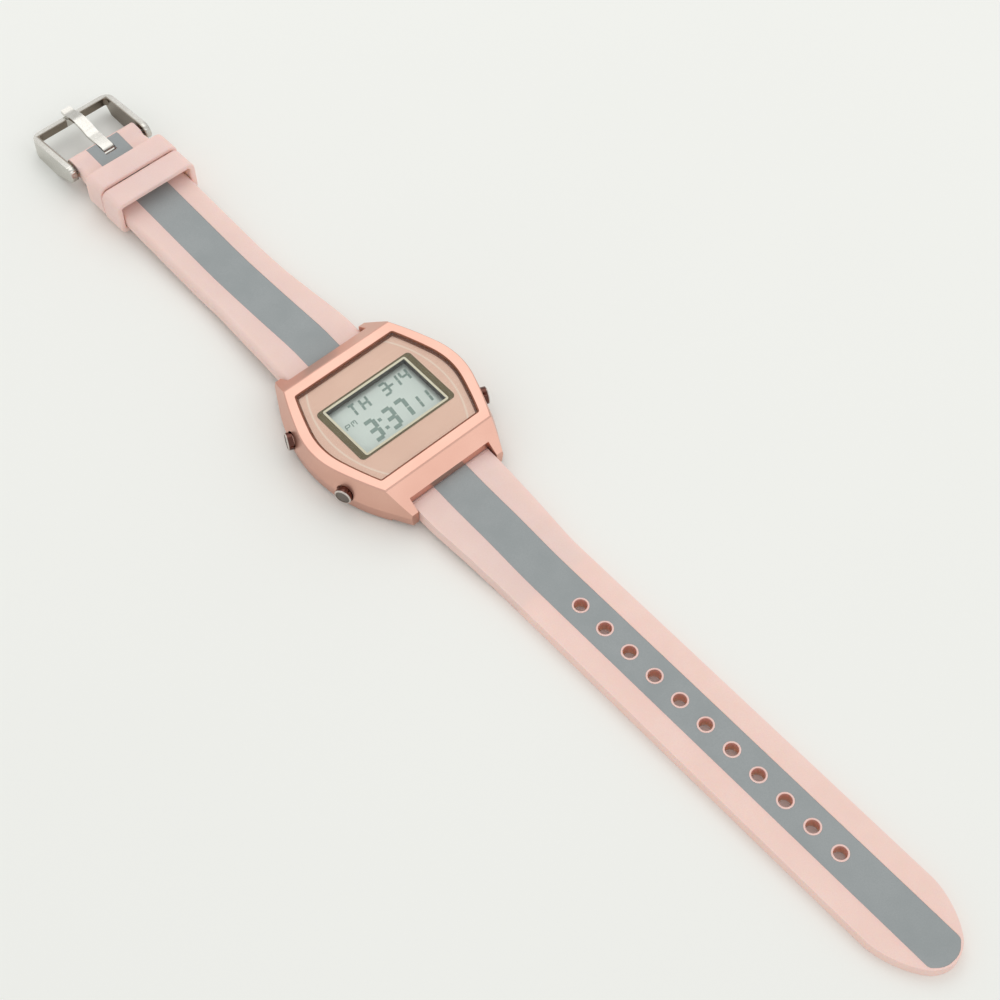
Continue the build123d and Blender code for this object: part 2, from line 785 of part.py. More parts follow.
# Pushers: tube, cap with stem, seal, spring and retaining ring for each
cap_floor = pusher_reach - cap_front_wall
for number, sides in pushers.items():
    with BuildPart() as pusher_tube:
        with BuildSketch(pusher_plane(*sides, -tube_inner)):
            Circle(tube_radius)
            Circle(tube_bore_radius, mode=Mode.SUBTRACT)
        extrude(amount=tube_inner + tube_reach)
        with BuildSketch(pusher_plane(*sides, tube_reach)):
            Circle(spring_pocket_radius)
        extrude(amount=-spring_pocket_depth, mode=Mode.SUBTRACT)
    finish(pusher_tube, f"pusher_tube_{number}")

    with BuildPart() as pusher:
        with BuildSketch(pusher_plane(*sides, cap_skirt_start)):
            Circle(cap_radius)
        extrude(amount=pusher_reach - cap_skirt_start)
        fillet(pusher.faces().sort_by(lambda f: f.center().dot(pusher_plane(*sides).z_dir))[-1].edges(), cap_round)
        with BuildSketch(pusher_plane(*sides, cap_floor)):
            Circle(cap_radius - cap_wall)
        extrude(amount=cap_skirt_start - cap_floor, mode=Mode.SUBTRACT)
        with BuildSketch(pusher_plane(*sides, cap_floor)):
            Circle(stem_radius)
        extrude(amount=-(cap_floor + stem_inner))
        with BuildSketch(pusher_plane(*sides, -tube_inner - seat_gap)):
            Circle(stem_radius)
            Circle(clip_groove_radius, mode=Mode.SUBTRACT)
        extrude(amount=-clip_ring_thick, mode=Mode.SUBTRACT)
    finish(pusher, f"pusher_{number}")

    with BuildPart() as pusher_seal:
        with BuildSketch(pusher_plane(*sides, tube_reach - spring_pocket_depth)):
            Circle(spring_pocket_radius - pin_gap)
            Circle(stem_radius + pin_gap, mode=Mode.SUBTRACT)
        extrude(amount=seal_thick)
    finish(pusher_seal, f"pusher_seal_{number}")

    spring_start = tube_reach - spring_pocket_depth + seal_thick
    pusher_spring = coil(
        pusher_plane(*sides, spring_start),
        (stem_radius + spring_pocket_radius) / 2,
        push_wire_radius,
        push_spring_turns,
        cap_floor - spring_start,
    )
    finish(pusher_spring, f"pusher_spring_{number}")

    with BuildPart() as pusher_clip:
        with BuildSketch(pusher_plane(*sides, -tube_inner - seat_gap)):
            Circle(clip_ring_radius)
            Circle(clip_groove_radius + seat_gap / 2, mode=Mode.SUBTRACT)
            with Locations((clip_ring_radius, 0)):
                Rectangle(2 * clip_ring_radius, clip_mouth_width, mode=Mode.SUBTRACT)
        extrude(amount=-(clip_ring_thick - seat_gap / 2))
    finish(pusher_clip, f"pusher_clip_{number}")


# Spring bars: a tube between two tips, at both lugs and in the buckle
def spring_bar(name, y, z, half_gap):
    tube_half = half_gap - bar_end_gap
    with BuildPart() as tube:
        with BuildSketch(Plane.YZ):
            with Locations((y, z)):
                Circle(bar_radius)
        extrude(amount=tube_half, both=True)
    finish(tube, f"{name}_tube")
    with BuildPart() as tips:
        for side in (-1, 1):
            with BuildSketch(Plane.YZ.offset(side * tube_half)):
                with Locations((y, z)):
                    Circle(tip_radius)
            extrude(amount=side * (bar_end_gap + tip_engagement))
    finish(tips, f"{name}_tips")


spring_bar("lug_bar_12", lug_bar_y, lug_bar_z, lug_gap_half)
spring_bar("lug_bar_6", -lug_bar_y, lug_bar_z, lug_gap_half)

# Edges along the sides of a strap piece, above and below
def rim_edges(part):
    walls = part.faces().filter_by(lambda f: abs(f.normal_at(f.center()).Z) < upright_share)
    edges = walls.edges().filter_by(lambda e: abs((e % edge_middle).Z) < upright_share)
    return edges.filter_by(lambda e: abs((e % edge_middle).X) < across_share)


# Side profile of a strap piece: its top line, the line under it and what closes the far end
def strap_side(side, top, depths, low_end=None, end_arcs=()):
    upper = [(side * y, z) for y, z in top]
    lower = [(side * y, z - depth) for (y, z), depth in zip(top, depths)]
    if low_end:
        lower[-1] = low_end
    with BuildSketch() as face:
        with BuildLine():
            over = FilletPolyline(*upper, radius=strap_bend_radius)
            under = FilletPolyline(*lower, radius=strap_bend_radius)
            close = over @ 1
            for middle, end in end_arcs:
                close = ThreePointArc(close, middle, end) @ 1 if middle else Line(close, end) @ 1
            if not end_arcs:
                Line(close, under @ 1)
            Line(over @ 0, under @ 0)
        make_face()
    return face.sketch


# Long strap: plan with its pointed end, stripe and holes
long_turn = acos((tip_side_radius - strap_half_width) / (tip_side_radius - nose_radius))
tip_join_y = long_reach - nose_radius + nose_radius * sin(long_turn)
tip_start_y = tip_join_y - tip_side_radius * sin(long_turn)
strap_inner_y = lug_bar_y - strap_lug_thick
with BuildSketch() as long_plan:
    with BuildLine():
        Polyline(
            (0, -strap_inner_y),
            (strap_lug_half_width, -strap_inner_y),
            (strap_lug_half_width, -strap_taper_start),
            (strap_half_width, -strap_taper_end),
            (strap_half_width, -tip_start_y),
        )
        bend = TangentArc(
            (strap_half_width, -tip_start_y),
            (nose_radius * cos(long_turn), -tip_join_y),
            tangent=(0, -1),
        )
        TangentArc(bend @ 1, (0, -long_reach), tangent=bend % 1)
        mirror(about=Plane.YZ)
    make_face()

long_top = [(lug_bar_y, lug_bar_z + strap_lug_thick / 2), *long_top_points, (long_reach, tail_thick)]
long_depths = [strap_lug_thick] + [long_thick] * len(long_top_points) + [tail_thick]
hole_ys = [hole_first_y + n * hole_pitch for n in range(hole_count)]

with BuildPart() as stripe_long:
    with BuildSketch(Plane.YZ):
        add(strap_side(-1, long_top, [stripe_depth] * len(long_top)))
    extrude(amount=stripe_half_width, both=True)
    extrude(offset(long_plan.sketch, amount=-stripe_rim, mode=Mode.PRIVATE), amount=bezel_z, mode=Mode.INTERSECT)
    with Locations([(0, -y, 0) for y in hole_ys]):
        Cylinder(hole_radius + hole_rim, 2 * bezel_z, mode=Mode.SUBTRACT)
finish(stripe_long, "stripe_long")

with BuildPart() as strap_long:
    with BuildSketch(Plane.YZ):
        add(strap_side(-1, long_top, long_depths))
    extrude(amount=strap_lug_half_width, both=True)
    extrude(long_plan.sketch, amount=bezel_z, mode=Mode.INTERSECT)
    fillet(rim_edges(strap_long), strap_edge_round)
    with BuildSketch(Plane.YZ):
        with Locations((-lug_bar_y, lug_bar_z)):
            Circle(strap_lug_thick / 2)
    extrude(amount=strap_lug_half_width, both=True)
    with BuildSketch(Plane.YZ):
        with Locations((-lug_bar_y, lug_bar_z)):
            Circle(bar_radius + pin_gap)
    extrude(amount=strap_lug_half_width, both=True, mode=Mode.SUBTRACT)
    add(stripe_long.part, mode=Mode.SUBTRACT)
    with Locations([(0, -y, 0) for y in hole_ys]):
        Cylinder(hole_radius, 2 * bezel_z, mode=Mode.SUBTRACT)
finish(strap_long, "strap_long")

# Short strap: it rises in a straight line from its low point to the buckle
rise_turn = atan2(rise_end_z - rise_start_z, buckle_bar_y - rise_start_y)
buckle_bar_z = rise_end_z - knuckle_radius / cos(rise_turn)


# Point on the rounded end past the buckle bar, its angle measured from the strap's top
def knuckle_point(angle, radius):
    turn = rise_turn + radians(90 - angle)
    return (
        buckle_bar_y + end_lead * cos(rise_turn) + radius * cos(turn),
        buckle_bar_z + end_lead * sin(rise_turn) + radius * sin(turn),
    )


short_end_y = knuckle_point(90 + degrees(rise_turn), knuckle_radius)[0]
slot_start_y = buckle_bar_y - tongue_eye_radius - slot_gap
free_loop_end = free_loop_start + free_loop_length
fixed_loop_start = free_loop_end + loop_gap


# Plane square to the rising strap, its origin on the strap's top and its Y away from the strap
def rise_plane(y):
    z = rise_start_z + (y - rise_start_y) * sin(rise_turn) / cos(rise_turn)
    return Plane(origin=(0, y, z), x_dir=(-1, 0, 0), z_dir=(0, cos(rise_turn), sin(rise_turn)))


loop_inner_half = strap_half_width + slide_gap
loop_outer_half = loop_inner_half + loop_wall
loop_low = -(short_thick + slide_gap)


def loop_outline():
    low = loop_low - loop_bottom_wall
    high = loop_opening + loop_top_wall
    with Locations((0, (low + high) / 2)):
        RectangleRounded(2 * loop_outer_half, high - low, loop_corner_radius)


def loop_opening_outline(low):
    with Locations((0, (low + loop_opening) / 2)):
        RectangleRounded(2 * loop_inner_half, loop_opening - low, loop_inner_radius, mode=Mode.SUBTRACT)


with BuildSketch() as short_plan:
    with BuildLine():
        taper_end = end_taper_start + end_taper_length
        FilletPolyline(
            (end_half_width, taper_end),
            (end_half_width, short_end_y),
            (0, short_end_y),
            radius=end_corner_radius,
        )
        Polyline(
            (0, strap_inner_y),
            (strap_lug_half_width, strap_inner_y),
            (strap_lug_half_width, strap_taper_start),
            (strap_half_width, strap_taper_end),
            (strap_half_width, end_taper_start),
            (end_half_width, taper_end),
        )
        mirror(about=Plane.YZ)
    make_face()

short_top = [
    (lug_bar_y, lug_bar_z + strap_lug_thick / 2),
    *short_top_points,
    (rise_start_y, rise_start_z),
    knuckle_point(0, knuckle_radius),
]
knuckle_join = 360 - degrees(acos(1 - short_thick * cos(rise_turn) / knuckle_radius))
knuckle_arc = [(knuckle_point(knuckle_join / 2, knuckle_radius), knuckle_point(knuckle_join, knuckle_radius))]
stripe_inner = knuckle_radius - stripe_depth
stripe_arc = [
    (knuckle_point(stripe_turn / 2, knuckle_radius), knuckle_point(stripe_turn, knuckle_radius)),
    (None, knuckle_point(stripe_turn, stripe_inner)),
    (knuckle_point(stripe_turn / 2, stripe_inner), knuckle_point(0, stripe_inner)),
]
short_depths = [strap_lug_thick] + [short_thick] * (len(short_top) - 1)
slot_length = short_end_y - slot_start_y + cut_over

with BuildPart() as stripe_short:
    with BuildSketch(Plane.YZ):
        add(strap_side(1, short_top, [stripe_depth] * len(short_top), knuckle_point(0, stripe_inner), stripe_arc))
    extrude(amount=stripe_half_width, both=True)
    with Locations((0, slot_start_y, 0)):
        Box(
            2 * slot_half_width,
            slot_length,
            4 * bezel_z,
            align=(Align.CENTER, Align.MIN, Align.CENTER),
            mode=Mode.SUBTRACT,
        )
finish(stripe_short, "stripe_short")

with BuildPart() as strap_short:
    with BuildSketch(Plane.YZ):
        add(strap_side(1, short_top, short_depths, knuckle_arc[0][1], knuckle_arc))
    extrude(amount=strap_lug_half_width, both=True)
    extrude(short_plan.sketch, amount=2 * bezel_z, mode=Mode.INTERSECT)
    with BuildSketch(rise_plane(fixed_loop_start)):
        loop_outline()
        loop_opening_outline(0)
    extrude(amount=fixed_loop_length)
    with BuildSketch(Plane.YZ):
        with Locations((lug_bar_y, lug_bar_z)):
            Circle(strap_lug_thick / 2)
    extrude(amount=strap_lug_half_width, both=True)
    with Locations((0, slot_start_y, 0)):
        Box(
            2 * slot_half_width,
            slot_length,
            4 * bezel_z,
            align=(Align.CENTER, Align.MIN, Align.CENTER),
            mode=Mode.SUBTRACT,
        )
    add(stripe_short.part, mode=Mode.SUBTRACT)
    with Locations((0, lug_bar_y, lug_bar_z), (0, buckle_bar_y, buckle_bar_z)):
        Cylinder(
            bar_radius + pin_gap,
            2 * (strap_lug_half_width + cut_over),
            rotation=(0, 90, 0),
            mode=Mode.SUBTRACT,
        )
finish(strap_short, "strap_short")

with BuildPart() as free_loop:
    with BuildSketch(rise_plane(free_loop_start)):
        loop_outline()
        loop_opening_outline(loop_low)
    extrude(amount=free_loop_length)
    fillet(free_loop.edges(), loop_edge_round)
finish(free_loop, "free_loop")

# Buckle frame: a ring in plan, cut to its side profile
frame_inner_half = frame_half_width - frame_wall
frame_start_y = buckle_bar_y - frame_eye_radius
with BuildPart() as buckle_frame:
    with BuildSketch():
        with BuildLine():
            FilletPolyline(
                (frame_half_width, frame_start_y),
                (frame_half_width, frame_far_y),
                (0, frame_far_y),
                radius=frame_corner_radius,
            )
            FilletPolyline(
                (frame_inner_half, frame_start_y),
                (frame_inner_half, frame_far_y - frame_far_wall),
                (0, frame_far_y - frame_far_wall),
                radius=frame_inner_radius,
            )
            Line((frame_half_width, frame_start_y), (frame_inner_half, frame_start_y))
            mirror(about=Plane.YZ)
        make_face()
    extrude(amount=bezel_z)
    with BuildSketch(Plane.YZ):
        with Locations((buckle_bar_y, buckle_bar_z)):
            Circle(frame_eye_radius)
        Polygon(
            (frame_foot_start, 0),
            (frame_foot_end, 0),
            (frame_far_y, frame_top_z - frame_far_height),
            (frame_far_y, frame_top_z),
            align=None,
        )
        make_hull()
    extrude(amount=frame_half_width, both=True, mode=Mode.INTERSECT)
    with Locations((0, frame_far_y, frame_top_z - frame_far_height)):
        Box(
            2 * frame_inner_half,
            frame_far_y - frame_foot_start,
            bezel_z,
            align=(Align.CENTER, Align.MAX, Align.MAX),
            mode=Mode.SUBTRACT,
        )
    with BuildSketch(Plane.YZ):
        with Locations((buckle_bar_y, buckle_bar_z)):
            Circle(tip_radius + pin_gap)
    extrude(amount=frame_inner_half + tip_hole_depth, both=True, mode=Mode.SUBTRACT)
finish(buckle_frame, "buckle_frame")

# Tongue: an eye round the bar and a bent strip that rests on the far side of the frame
with BuildPart() as buckle_tongue:
    with BuildSketch(Plane.YZ):
        with BuildLine():
            rest_z = frame_top_z + tongue_rest_gap + tongue_thick / 2
            FilletPolyline(
                (buckle_bar_y, buckle_bar_z + tongue_eye_radius - tongue_thick / 2),
                (tongue_low_y, tongue_low_z),
                (tongue_high_start, tongue_high_z),
                (tongue_high_end, tongue_high_z),
                (frame_far_y - frame_far_wall - tongue_rest_lead, rest_z),
                (tongue_tip_y, rest_z),
                radius=tongue_bend_radius,
            )
            offset(amount=tongue_thick / 2, side=Side.BOTH, kind=Kind.INTERSECTION)
        make_face()
        with Locations((buckle_bar_y, buckle_bar_z)):
            Circle(tongue_eye_radius)
            Circle(bar_radius + pin_gap, mode=Mode.SUBTRACT)
    extrude(amount=tongue_half_width, both=True)
    flanks = buckle_tongue.faces().filter_by(Axis.X)
    fillet([edge for flank in flanks for edge in flank.outer_wire().edges()], tongue_edge_round)
finish(buckle_tongue, "buckle_tongue")

spring_bar("buckle_bar", buckle_bar_y, buckle_bar_z, frame_inner_half)
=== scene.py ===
import bpy, bmesh, json
from math import degrees, pi, radians
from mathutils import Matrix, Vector


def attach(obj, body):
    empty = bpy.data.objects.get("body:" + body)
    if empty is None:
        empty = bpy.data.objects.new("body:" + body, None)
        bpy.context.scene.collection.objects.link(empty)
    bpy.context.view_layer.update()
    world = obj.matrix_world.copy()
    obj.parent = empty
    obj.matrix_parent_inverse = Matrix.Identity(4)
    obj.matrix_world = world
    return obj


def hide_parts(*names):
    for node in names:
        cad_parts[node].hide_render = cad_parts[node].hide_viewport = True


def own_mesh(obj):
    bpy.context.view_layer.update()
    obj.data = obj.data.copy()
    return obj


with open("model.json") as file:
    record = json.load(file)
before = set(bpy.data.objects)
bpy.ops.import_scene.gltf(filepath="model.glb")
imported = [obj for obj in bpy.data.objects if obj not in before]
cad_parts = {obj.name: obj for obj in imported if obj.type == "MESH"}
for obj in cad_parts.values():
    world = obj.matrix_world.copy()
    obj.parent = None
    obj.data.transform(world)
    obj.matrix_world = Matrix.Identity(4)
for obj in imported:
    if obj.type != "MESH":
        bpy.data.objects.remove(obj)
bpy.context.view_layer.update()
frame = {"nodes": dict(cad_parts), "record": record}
nodes = frame["nodes"]
mm = 0.001  # Blender works in metres; settings are in millimetres unless a note says otherwise
print("frame loaded:", len(nodes), "nodes")


def hexColour(code):  # sRGB hex to linear
    parts = [int(code[i:i + 2], 16) / 255 for i in (0, 2, 4)]
    return [p / 12.92 if p <= 0.04045 else ((p + 0.055) / 1.055) ** 2.4 for p in parts] + [1]


def addNode(tree, kind, settings=None, links=None):
    node = tree.nodes.new(kind)
    for key, value in (settings or {}).items():
        if isinstance(key, int) or key in node.inputs:
            node.inputs[key].default_value = value
        else:
            setattr(node, key, value)
    for key, source in (links or {}).items():
        tree.links.new(source, node.inputs[key])
    return node


# Camera, light and floor. Places and sizes in these three are in metres.
view = {
    "place": (-0.13749, -0.18421, 0.32106),
    "turn": (33.5457, -0.3761, -41.6046),  # degrees, with the photograph's small roll
    "lens": 73.19,
    "sensor": 36,
}
light = {
    "skyColour": "fcfcfb",
    "worldStrength": 0.8,
    "windowPower": 1.3,
    "windowPlace": (0.28, 0.46, 0.72),
    "windowSize": 0.7,
    "fillPower": 0.72,
    "fillPlace": (0.4, -0.62, 0.75),
    "fillSize": 0.6,
}
paper = {
    "size": 4, "pale": "f8f9f5", "deep": "f5f6f2", "roughness": 0.9, "specular": 0.1,
    "cloudScale": 9, "cloudDetail": 2,  # clouds of about 110 mm
}


def makeCamera():
    data = bpy.data.cameras.new("watchCamera")
    data.lens = view["lens"]
    data.sensor_width = view["sensor"]
    camera = bpy.data.objects.new("watchCamera", data)
    camera.location = view["place"]
    camera.rotation_euler = [radians(a) for a in view["turn"]]
    bpy.context.scene.collection.objects.link(camera)
    bpy.context.scene.camera = camera


def makeLamp(name, power, place, size):  # a square panel, turned to the watch
    data = bpy.data.lights.new(name, "AREA")
    data.energy = power
    data.size = size
    lamp = bpy.data.objects.new(name, data)
    lamp.location = place
    lamp.rotation_euler = (-Vector(place)).to_track_quat("-Z", "Y").to_euler()
    bpy.context.scene.collection.objects.link(lamp)


def makeWorld():
    world = bpy.data.worlds.new("studio")
    world.use_nodes = True
    bpy.context.scene.world = world
    sky = world.node_tree.nodes["Background"]
    sky.inputs["Color"].default_value = hexColour(light["skyColour"])
    sky.inputs["Strength"].default_value = light["worldStrength"]


def makeFloor():
    bpy.ops.object.select_all(action="DESELECT")
    bpy.ops.mesh.primitive_plane_add(size=paper["size"], location=(0, 0, 0))
    floor = bpy.context.active_object
    floor.name = "paperFloor"
    bpy.ops.object.transform_apply(location=True, rotation=True, scale=True)
    # uncoated paper: no highlight, only faint clouds of tone
    material = bpy.data.materials.new("matt paper sheet")
    material.use_nodes = True
    tree = material.node_tree
    shader = tree.nodes["Principled BSDF"]
    shader.inputs["Roughness"].default_value = paper["roughness"]
    shader.inputs["Specular IOR Level"].default_value = paper["specular"]
    place = addNode(tree, "ShaderNodeTexCoord")
    cloud = addNode(tree, "ShaderNodeTexNoise",
                    {"Scale": paper["cloudScale"], "Detail": paper["cloudDetail"]},
                    {"Vector": place.outputs["Object"]})
    colours = {"data_type": "RGBA", 6: hexColour(paper["deep"]), 7: hexColour(paper["pale"])}
    tone = addNode(tree, "ShaderNodeMix", colours, {0: cloud.outputs[0]})
    tree.links.new(tone.outputs[2], shader.inputs["Base Color"])
    floor.data.materials.append(material)


bpy.context.scene.view_settings.view_transform = "Standard"
makeCamera()
makeWorld()
makeLamp("windowLamp", light["windowPower"], light["windowPlace"], light["windowSize"])
makeLamp("fillLamp", light["fillPower"], light["fillPlace"], light["fillSize"])
makeFloor()
print("camera, light and floor")

# Finishes. A fine grain gives roughness and relief, and with broad clouds it shades the colour.
pattern = {
    "detail": 2.0,
    "low": 0.12, "high": 0.4,  # most of grain times cloud lies between these
    "relief": 0.5,
}


def makeFinish(name, pale, deep, roughness, grain, bump, cloud, metallic=0.0, sockets=None):
    material = bpy.data.materials.new(name)
    material.use_nodes = True
    tree = material.node_tree
    shader = tree.nodes["Principled BSDF"]
    place = addNode(tree, "ShaderNodeTexCoord").outputs["Object"]
    scaled = addNode(tree, "ShaderNodeMapping", {"Scale": [1 / (g * mm) for g in grain]},
                     {"Vector": place})
    fine = addNode(tree, "ShaderNodeTexNoise", {"Scale": 1.0, "Detail": pattern["detail"]},
                   {"Vector": scaled.outputs[0]})
    broad = addNode(tree, "ShaderNodeTexNoise",
                    {"Scale": 1 / (cloud * mm), "Detail": pattern["detail"]}, {"Vector": place})
    both = addNode(tree, "ShaderNodeMath", {"operation": "MULTIPLY"},
                   {0: fine.outputs[0], 1: broad.outputs[0]})
    share = addNode(tree, "ShaderNodeMapRange",
                    {"From Min": pattern["low"], "From Max": pattern["high"]},
                    {"Value": both.outputs[0]})
    colours = {"data_type": "RGBA", 6: hexColour(deep), 7: hexColour(pale)}
    tone = addNode(tree, "ShaderNodeMix", colours, {0: share.outputs[0]})
    rough = addNode(tree, "ShaderNodeMapRange", {"To Min": roughness[0], "To Max": roughness[1]},
                    {"Value": fine.outputs[0]})
    relief = addNode(tree, "ShaderNodeBump",
                     {"Strength": pattern["relief"], "Distance": bump * mm},
                     {"Height": fine.outputs[0]})
    tree.links.new(tone.outputs[2], shader.inputs["Base Color"])
    tree.links.new(rough.outputs[0], shader.inputs["Roughness"])
    tree.links.new(relief.outputs[0], shader.inputs["Normal"])
    shader.inputs["Metallic"].default_value = metallic
    for socket, value in (sockets or {}).items():
        shader.inputs[socket].default_value = value
    return material


glass = {
    "clear": "fbfcfa", "gloss": "a8adb0", "roughness": (0.02, 0.07),
    "haze": 6, "hazeDetail": 3,
    "facing": 0.5, "power": 5, "least": 0.04,  # 4% of gloss seen straight on
}


def makeGlass():  # coated mineral glass: clear, with a faint gloss that grows at low angles
    material = bpy.data.materials.new("polished mineral glass")
    material.use_nodes = True
    tree = material.node_tree
    tree.nodes.remove(tree.nodes["Principled BSDF"])
    place = addNode(tree, "ShaderNodeTexCoord")
    haze = addNode(tree, "ShaderNodeTexNoise",
                   {"Scale": 1 / (glass["haze"] * mm), "Detail": glass["hazeDetail"]},
                   {"Vector": place.outputs["Object"]})
    rough = addNode(tree, "ShaderNodeMapRange",
                    {"To Min": glass["roughness"][0], "To Max": glass["roughness"][1]},
                    {"Value": haze.outputs[0]})
    clear = addNode(tree, "ShaderNodeBsdfTransparent", {"Color": hexColour(glass["clear"])})
    gloss = addNode(tree, "ShaderNodeBsdfGlossy", {"Color": hexColour(glass["gloss"])},
                    {"Roughness": rough.outputs[0]})
    facing = addNode(tree, "ShaderNodeLayerWeight", {"Blend": glass["facing"]})
    steep = addNode(tree, "ShaderNodeMath", {"operation": "POWER", 1: glass["power"]},
                    {0: facing.outputs["Facing"]})
    edge = addNode(tree, "ShaderNodeMapRange", {"To Min": glass["least"]},
                   {"Value": steep.outputs[0]})
    pane = addNode(tree, "ShaderNodeMixShader", {},
                   {0: edge.outputs[0], 1: clear.outputs[0], 2: gloss.outputs[0]})
    tree.links.new(pane.outputs[0], tree.nodes["Material Output"].inputs["Surface"])
    return material


# Each finish: pale and deep colour, lowest and highest roughness, then in millimetres the grain
# along x, y and z, the depth of its relief and the size of its clouds. Real grit, brush lines
# and moulding skin are finer than 0.1 mm, so they are drawn as coarse as they need to show.
finishes = {
    # alloy, bead blasted and plated rose: broad soft highlights and no mirror image
    "rose_gold": makeFinish(
        "blasted rose plated alloy", "e3b5a4", "dbab9a", (0.3, 0.4),
        grain=(0.12, 0.12, 0.12), bump=0.006, cloud=9.0, metallic=1.0),
    # thin plate brushed along x and plated: long fine lines and a silky sheen
    "dial_rose": makeFinish(
        "brushed rose plated plate", "f6cbba", "eec0af", (0.36, 0.5),
        grain=(9.0, 0.14, 1.0), bump=0.01, cloud=12.0, metallic=0.3),
    # steel, turned, polished and plated dark: small clear highlights on a dark ground
    "gunmetal": makeFinish(
        "polished gunmetal plate", "7b736d", "6e6761", (0.16, 0.26),
        grain=(0.2, 0.2, 0.2), bump=0.003, cloud=3.0, metallic=1.0),
    "mineral_glass": makeGlass(),
    # nitrile rubber, moulded brown: no shine, so the ring reads as a dark line
    "gasket_dark": makeFinish(
        "moulded brown nitrile", "95593f", "7e4a34", (0.6, 0.75),
        grain=(0.2, 0.2, 0.2), bump=0.01, cloud=2.0),
    # nitrile rubber, moulded black: dull, and lost in its groove
    "seal_rubber": makeFinish(
        "moulded black nitrile", "2b2b2b", "1e1e1e", (0.6, 0.75),
        grain=(0.2, 0.2, 0.2), bump=0.01, cloud=2.0),
    # bronze ink printed on plastic: a flat warm olive with hardly any shine
    "trim_olive": makeFinish(
        "printed olive bronze trim", "7b6c4c", "6e6043", (0.35, 0.45),
        grain=(0.15, 0.15, 0.15), bump=0.004, cloud=3.0, sockets={"Specular IOR Level": 0.1}),
    # polystyrene, moulded: an even cream with a soft sheen
    "liner_cream": makeFinish(
        "moulded cream polystyrene", "fbf0dc", "f3e6cd", (0.5, 0.6),
        grain=(0.2, 0.2, 0.2), bump=0.004, cloud=3.0),
    # polariser film laminated on the panel: a smooth cool ground with a faint sheen
    "lcd_glass": makeFinish(
        "laminated display polariser", "ebf3f2", "e5edec", (0.34, 0.4),
        grain=(0.08, 0.08, 0.08), bump=0.001, cloud=5.0),
    # liquid crystal, switched dark: soft grey green marks, never black
    "lcd_dark": makeFinish(
        "display crystal, dark state", "93a7a2", "879b96", (0.3, 0.4),
        grain=(0.08, 0.08, 0.08), bump=0.001, cloud=3.0),
    # acetal, moulded white: a waxy and slightly uneven sheen
    "module_plastic": makeFinish(
        "moulded white acetal", "e6e5df", "dad9d2", (0.45, 0.6),
        grain=(0.3, 0.3, 0.3), bump=0.008, cloud=4.0),
    # acrylic, moulded clear: pale, with glossy edges
    "guide_acrylic": makeFinish(
        "moulded clear acrylic", "eef2f2", "e4eaea", (0.1, 0.2),
        grain=(0.4, 0.4, 0.4), bump=0.002, cloud=4.0),
    # epoxy, cast over the lamp: a pale glossy drop
    "lamp_resin": makeFinish(
        "cast lamp epoxy", "e2efe6", "d2e4d8", (0.15, 0.25),
        grain=(0.3, 0.3, 0.3), bump=0.002, cloud=2.0),
    # glass epoxy under a green resist: a deep uneven green with some gloss
    "board_green": makeFinish(
        "glass epoxy board, green resist", "2f7048", "205a37", (0.3, 0.45),
        grain=(0.35, 0.35, 0.35), bump=0.01, cloud=2.0),
    # epoxy, poured over the chip: black, with a gloss that comes and goes
    "chip_resin": makeFinish(
        "poured black epoxy", "1c1c1d", "121213", (0.25, 0.45),
        grain=(0.5, 0.5, 0.5), bump=0.02, cloud=2.0),
    # rubber in thin layers, plain and with carbon: fine stripes across the strip
    "strip_rubber": makeFinish(
        "layered connector rubber", "bdbdbd", "8b8b8b", (0.6, 0.7),
        grain=(0.1, 2.0, 2.0), bump=0.005, cloud=2.0),
    # spring bronze, gold flashed: small bright yellow highlights
    "gold_contact": makeFinish(
        "gold flashed spring bronze", "e6c878", "d9b862", (0.2, 0.3),
        grain=(0.3, 0.3, 0.3), bump=0.003, cloud=2.0, metallic=1.0),
    # brass, rolled thin: faint lines along the roll and a warm sheen
    "brass_disc": makeFinish(
        "rolled brass sheet", "dcc07a", "cdae64", (0.28, 0.4),
        grain=(2.0, 0.15, 1.0), bump=0.004, cloud=4.0, metallic=1.0),
    # steel, pressed and nickel plated: pale, blurred reflections
    "battery_steel": makeFinish(
        "pressed nickel plated steel", "cfcfcb", "bfbfbb", (0.24, 0.36),
        grain=(0.2, 0.2, 0.2), bump=0.004, cloud=4.0, metallic=1.0),
    # stainless steel, brushed along x: fine lines and a highlight drawn out across them
    "steel": makeFinish(
        "brushed stainless steel", "c9c9c8", "b4b4b3", (0.25, 0.4),
        grain=(6.0, 0.12, 1.0), bump=0.008, cloud=6.0, metallic=1.0),
    # stainless steel, polished: it mirrors the pale room, with bright edges
    "polished_steel": makeFinish(
        "polished stainless steel", "d8d6d0", "cbc8c1", (0.16, 0.26),
        grain=(0.4, 0.4, 0.4), bump=0.001, cloud=5.0, metallic=1.0),
    # silicone, moulded against blasted steel: a matt skin with a little light passing under it
    "pink_silicone": makeFinish(
        "moulded pink silicone", "fad6cd", "f6d0c6", (0.5, 0.62),
        grain=(0.25, 0.25, 0.25), bump=0.012, cloud=6.0, sockets={"Subsurface Weight": 0.12}),
    # silicone, moulded into the strap's channel: the same matt skin in grey
    "grey_silicone": makeFinish(
        "moulded grey silicone", "9ea3a4", "959b9c", (0.5, 0.62),
        grain=(0.25, 0.25, 0.25), bump=0.012, cloud=6.0),
}


# Tints: a second colour over part of a finish, by its place on the watch; most paint shade or
# reflection.
def openTint(material):  # what a tint starts from: the tree, the colour so far and the place
    tree = material.node_tree
    ground = tree.nodes["Principled BSDF"].inputs["Base Color"].links[0].from_socket
    return tree, ground, addNode(tree, "ShaderNodeTexCoord").outputs["Object"]


def closeTint(tree, tone):
    tree.links.new(tone.outputs[2], tree.nodes["Principled BSDF"].inputs["Base Color"])


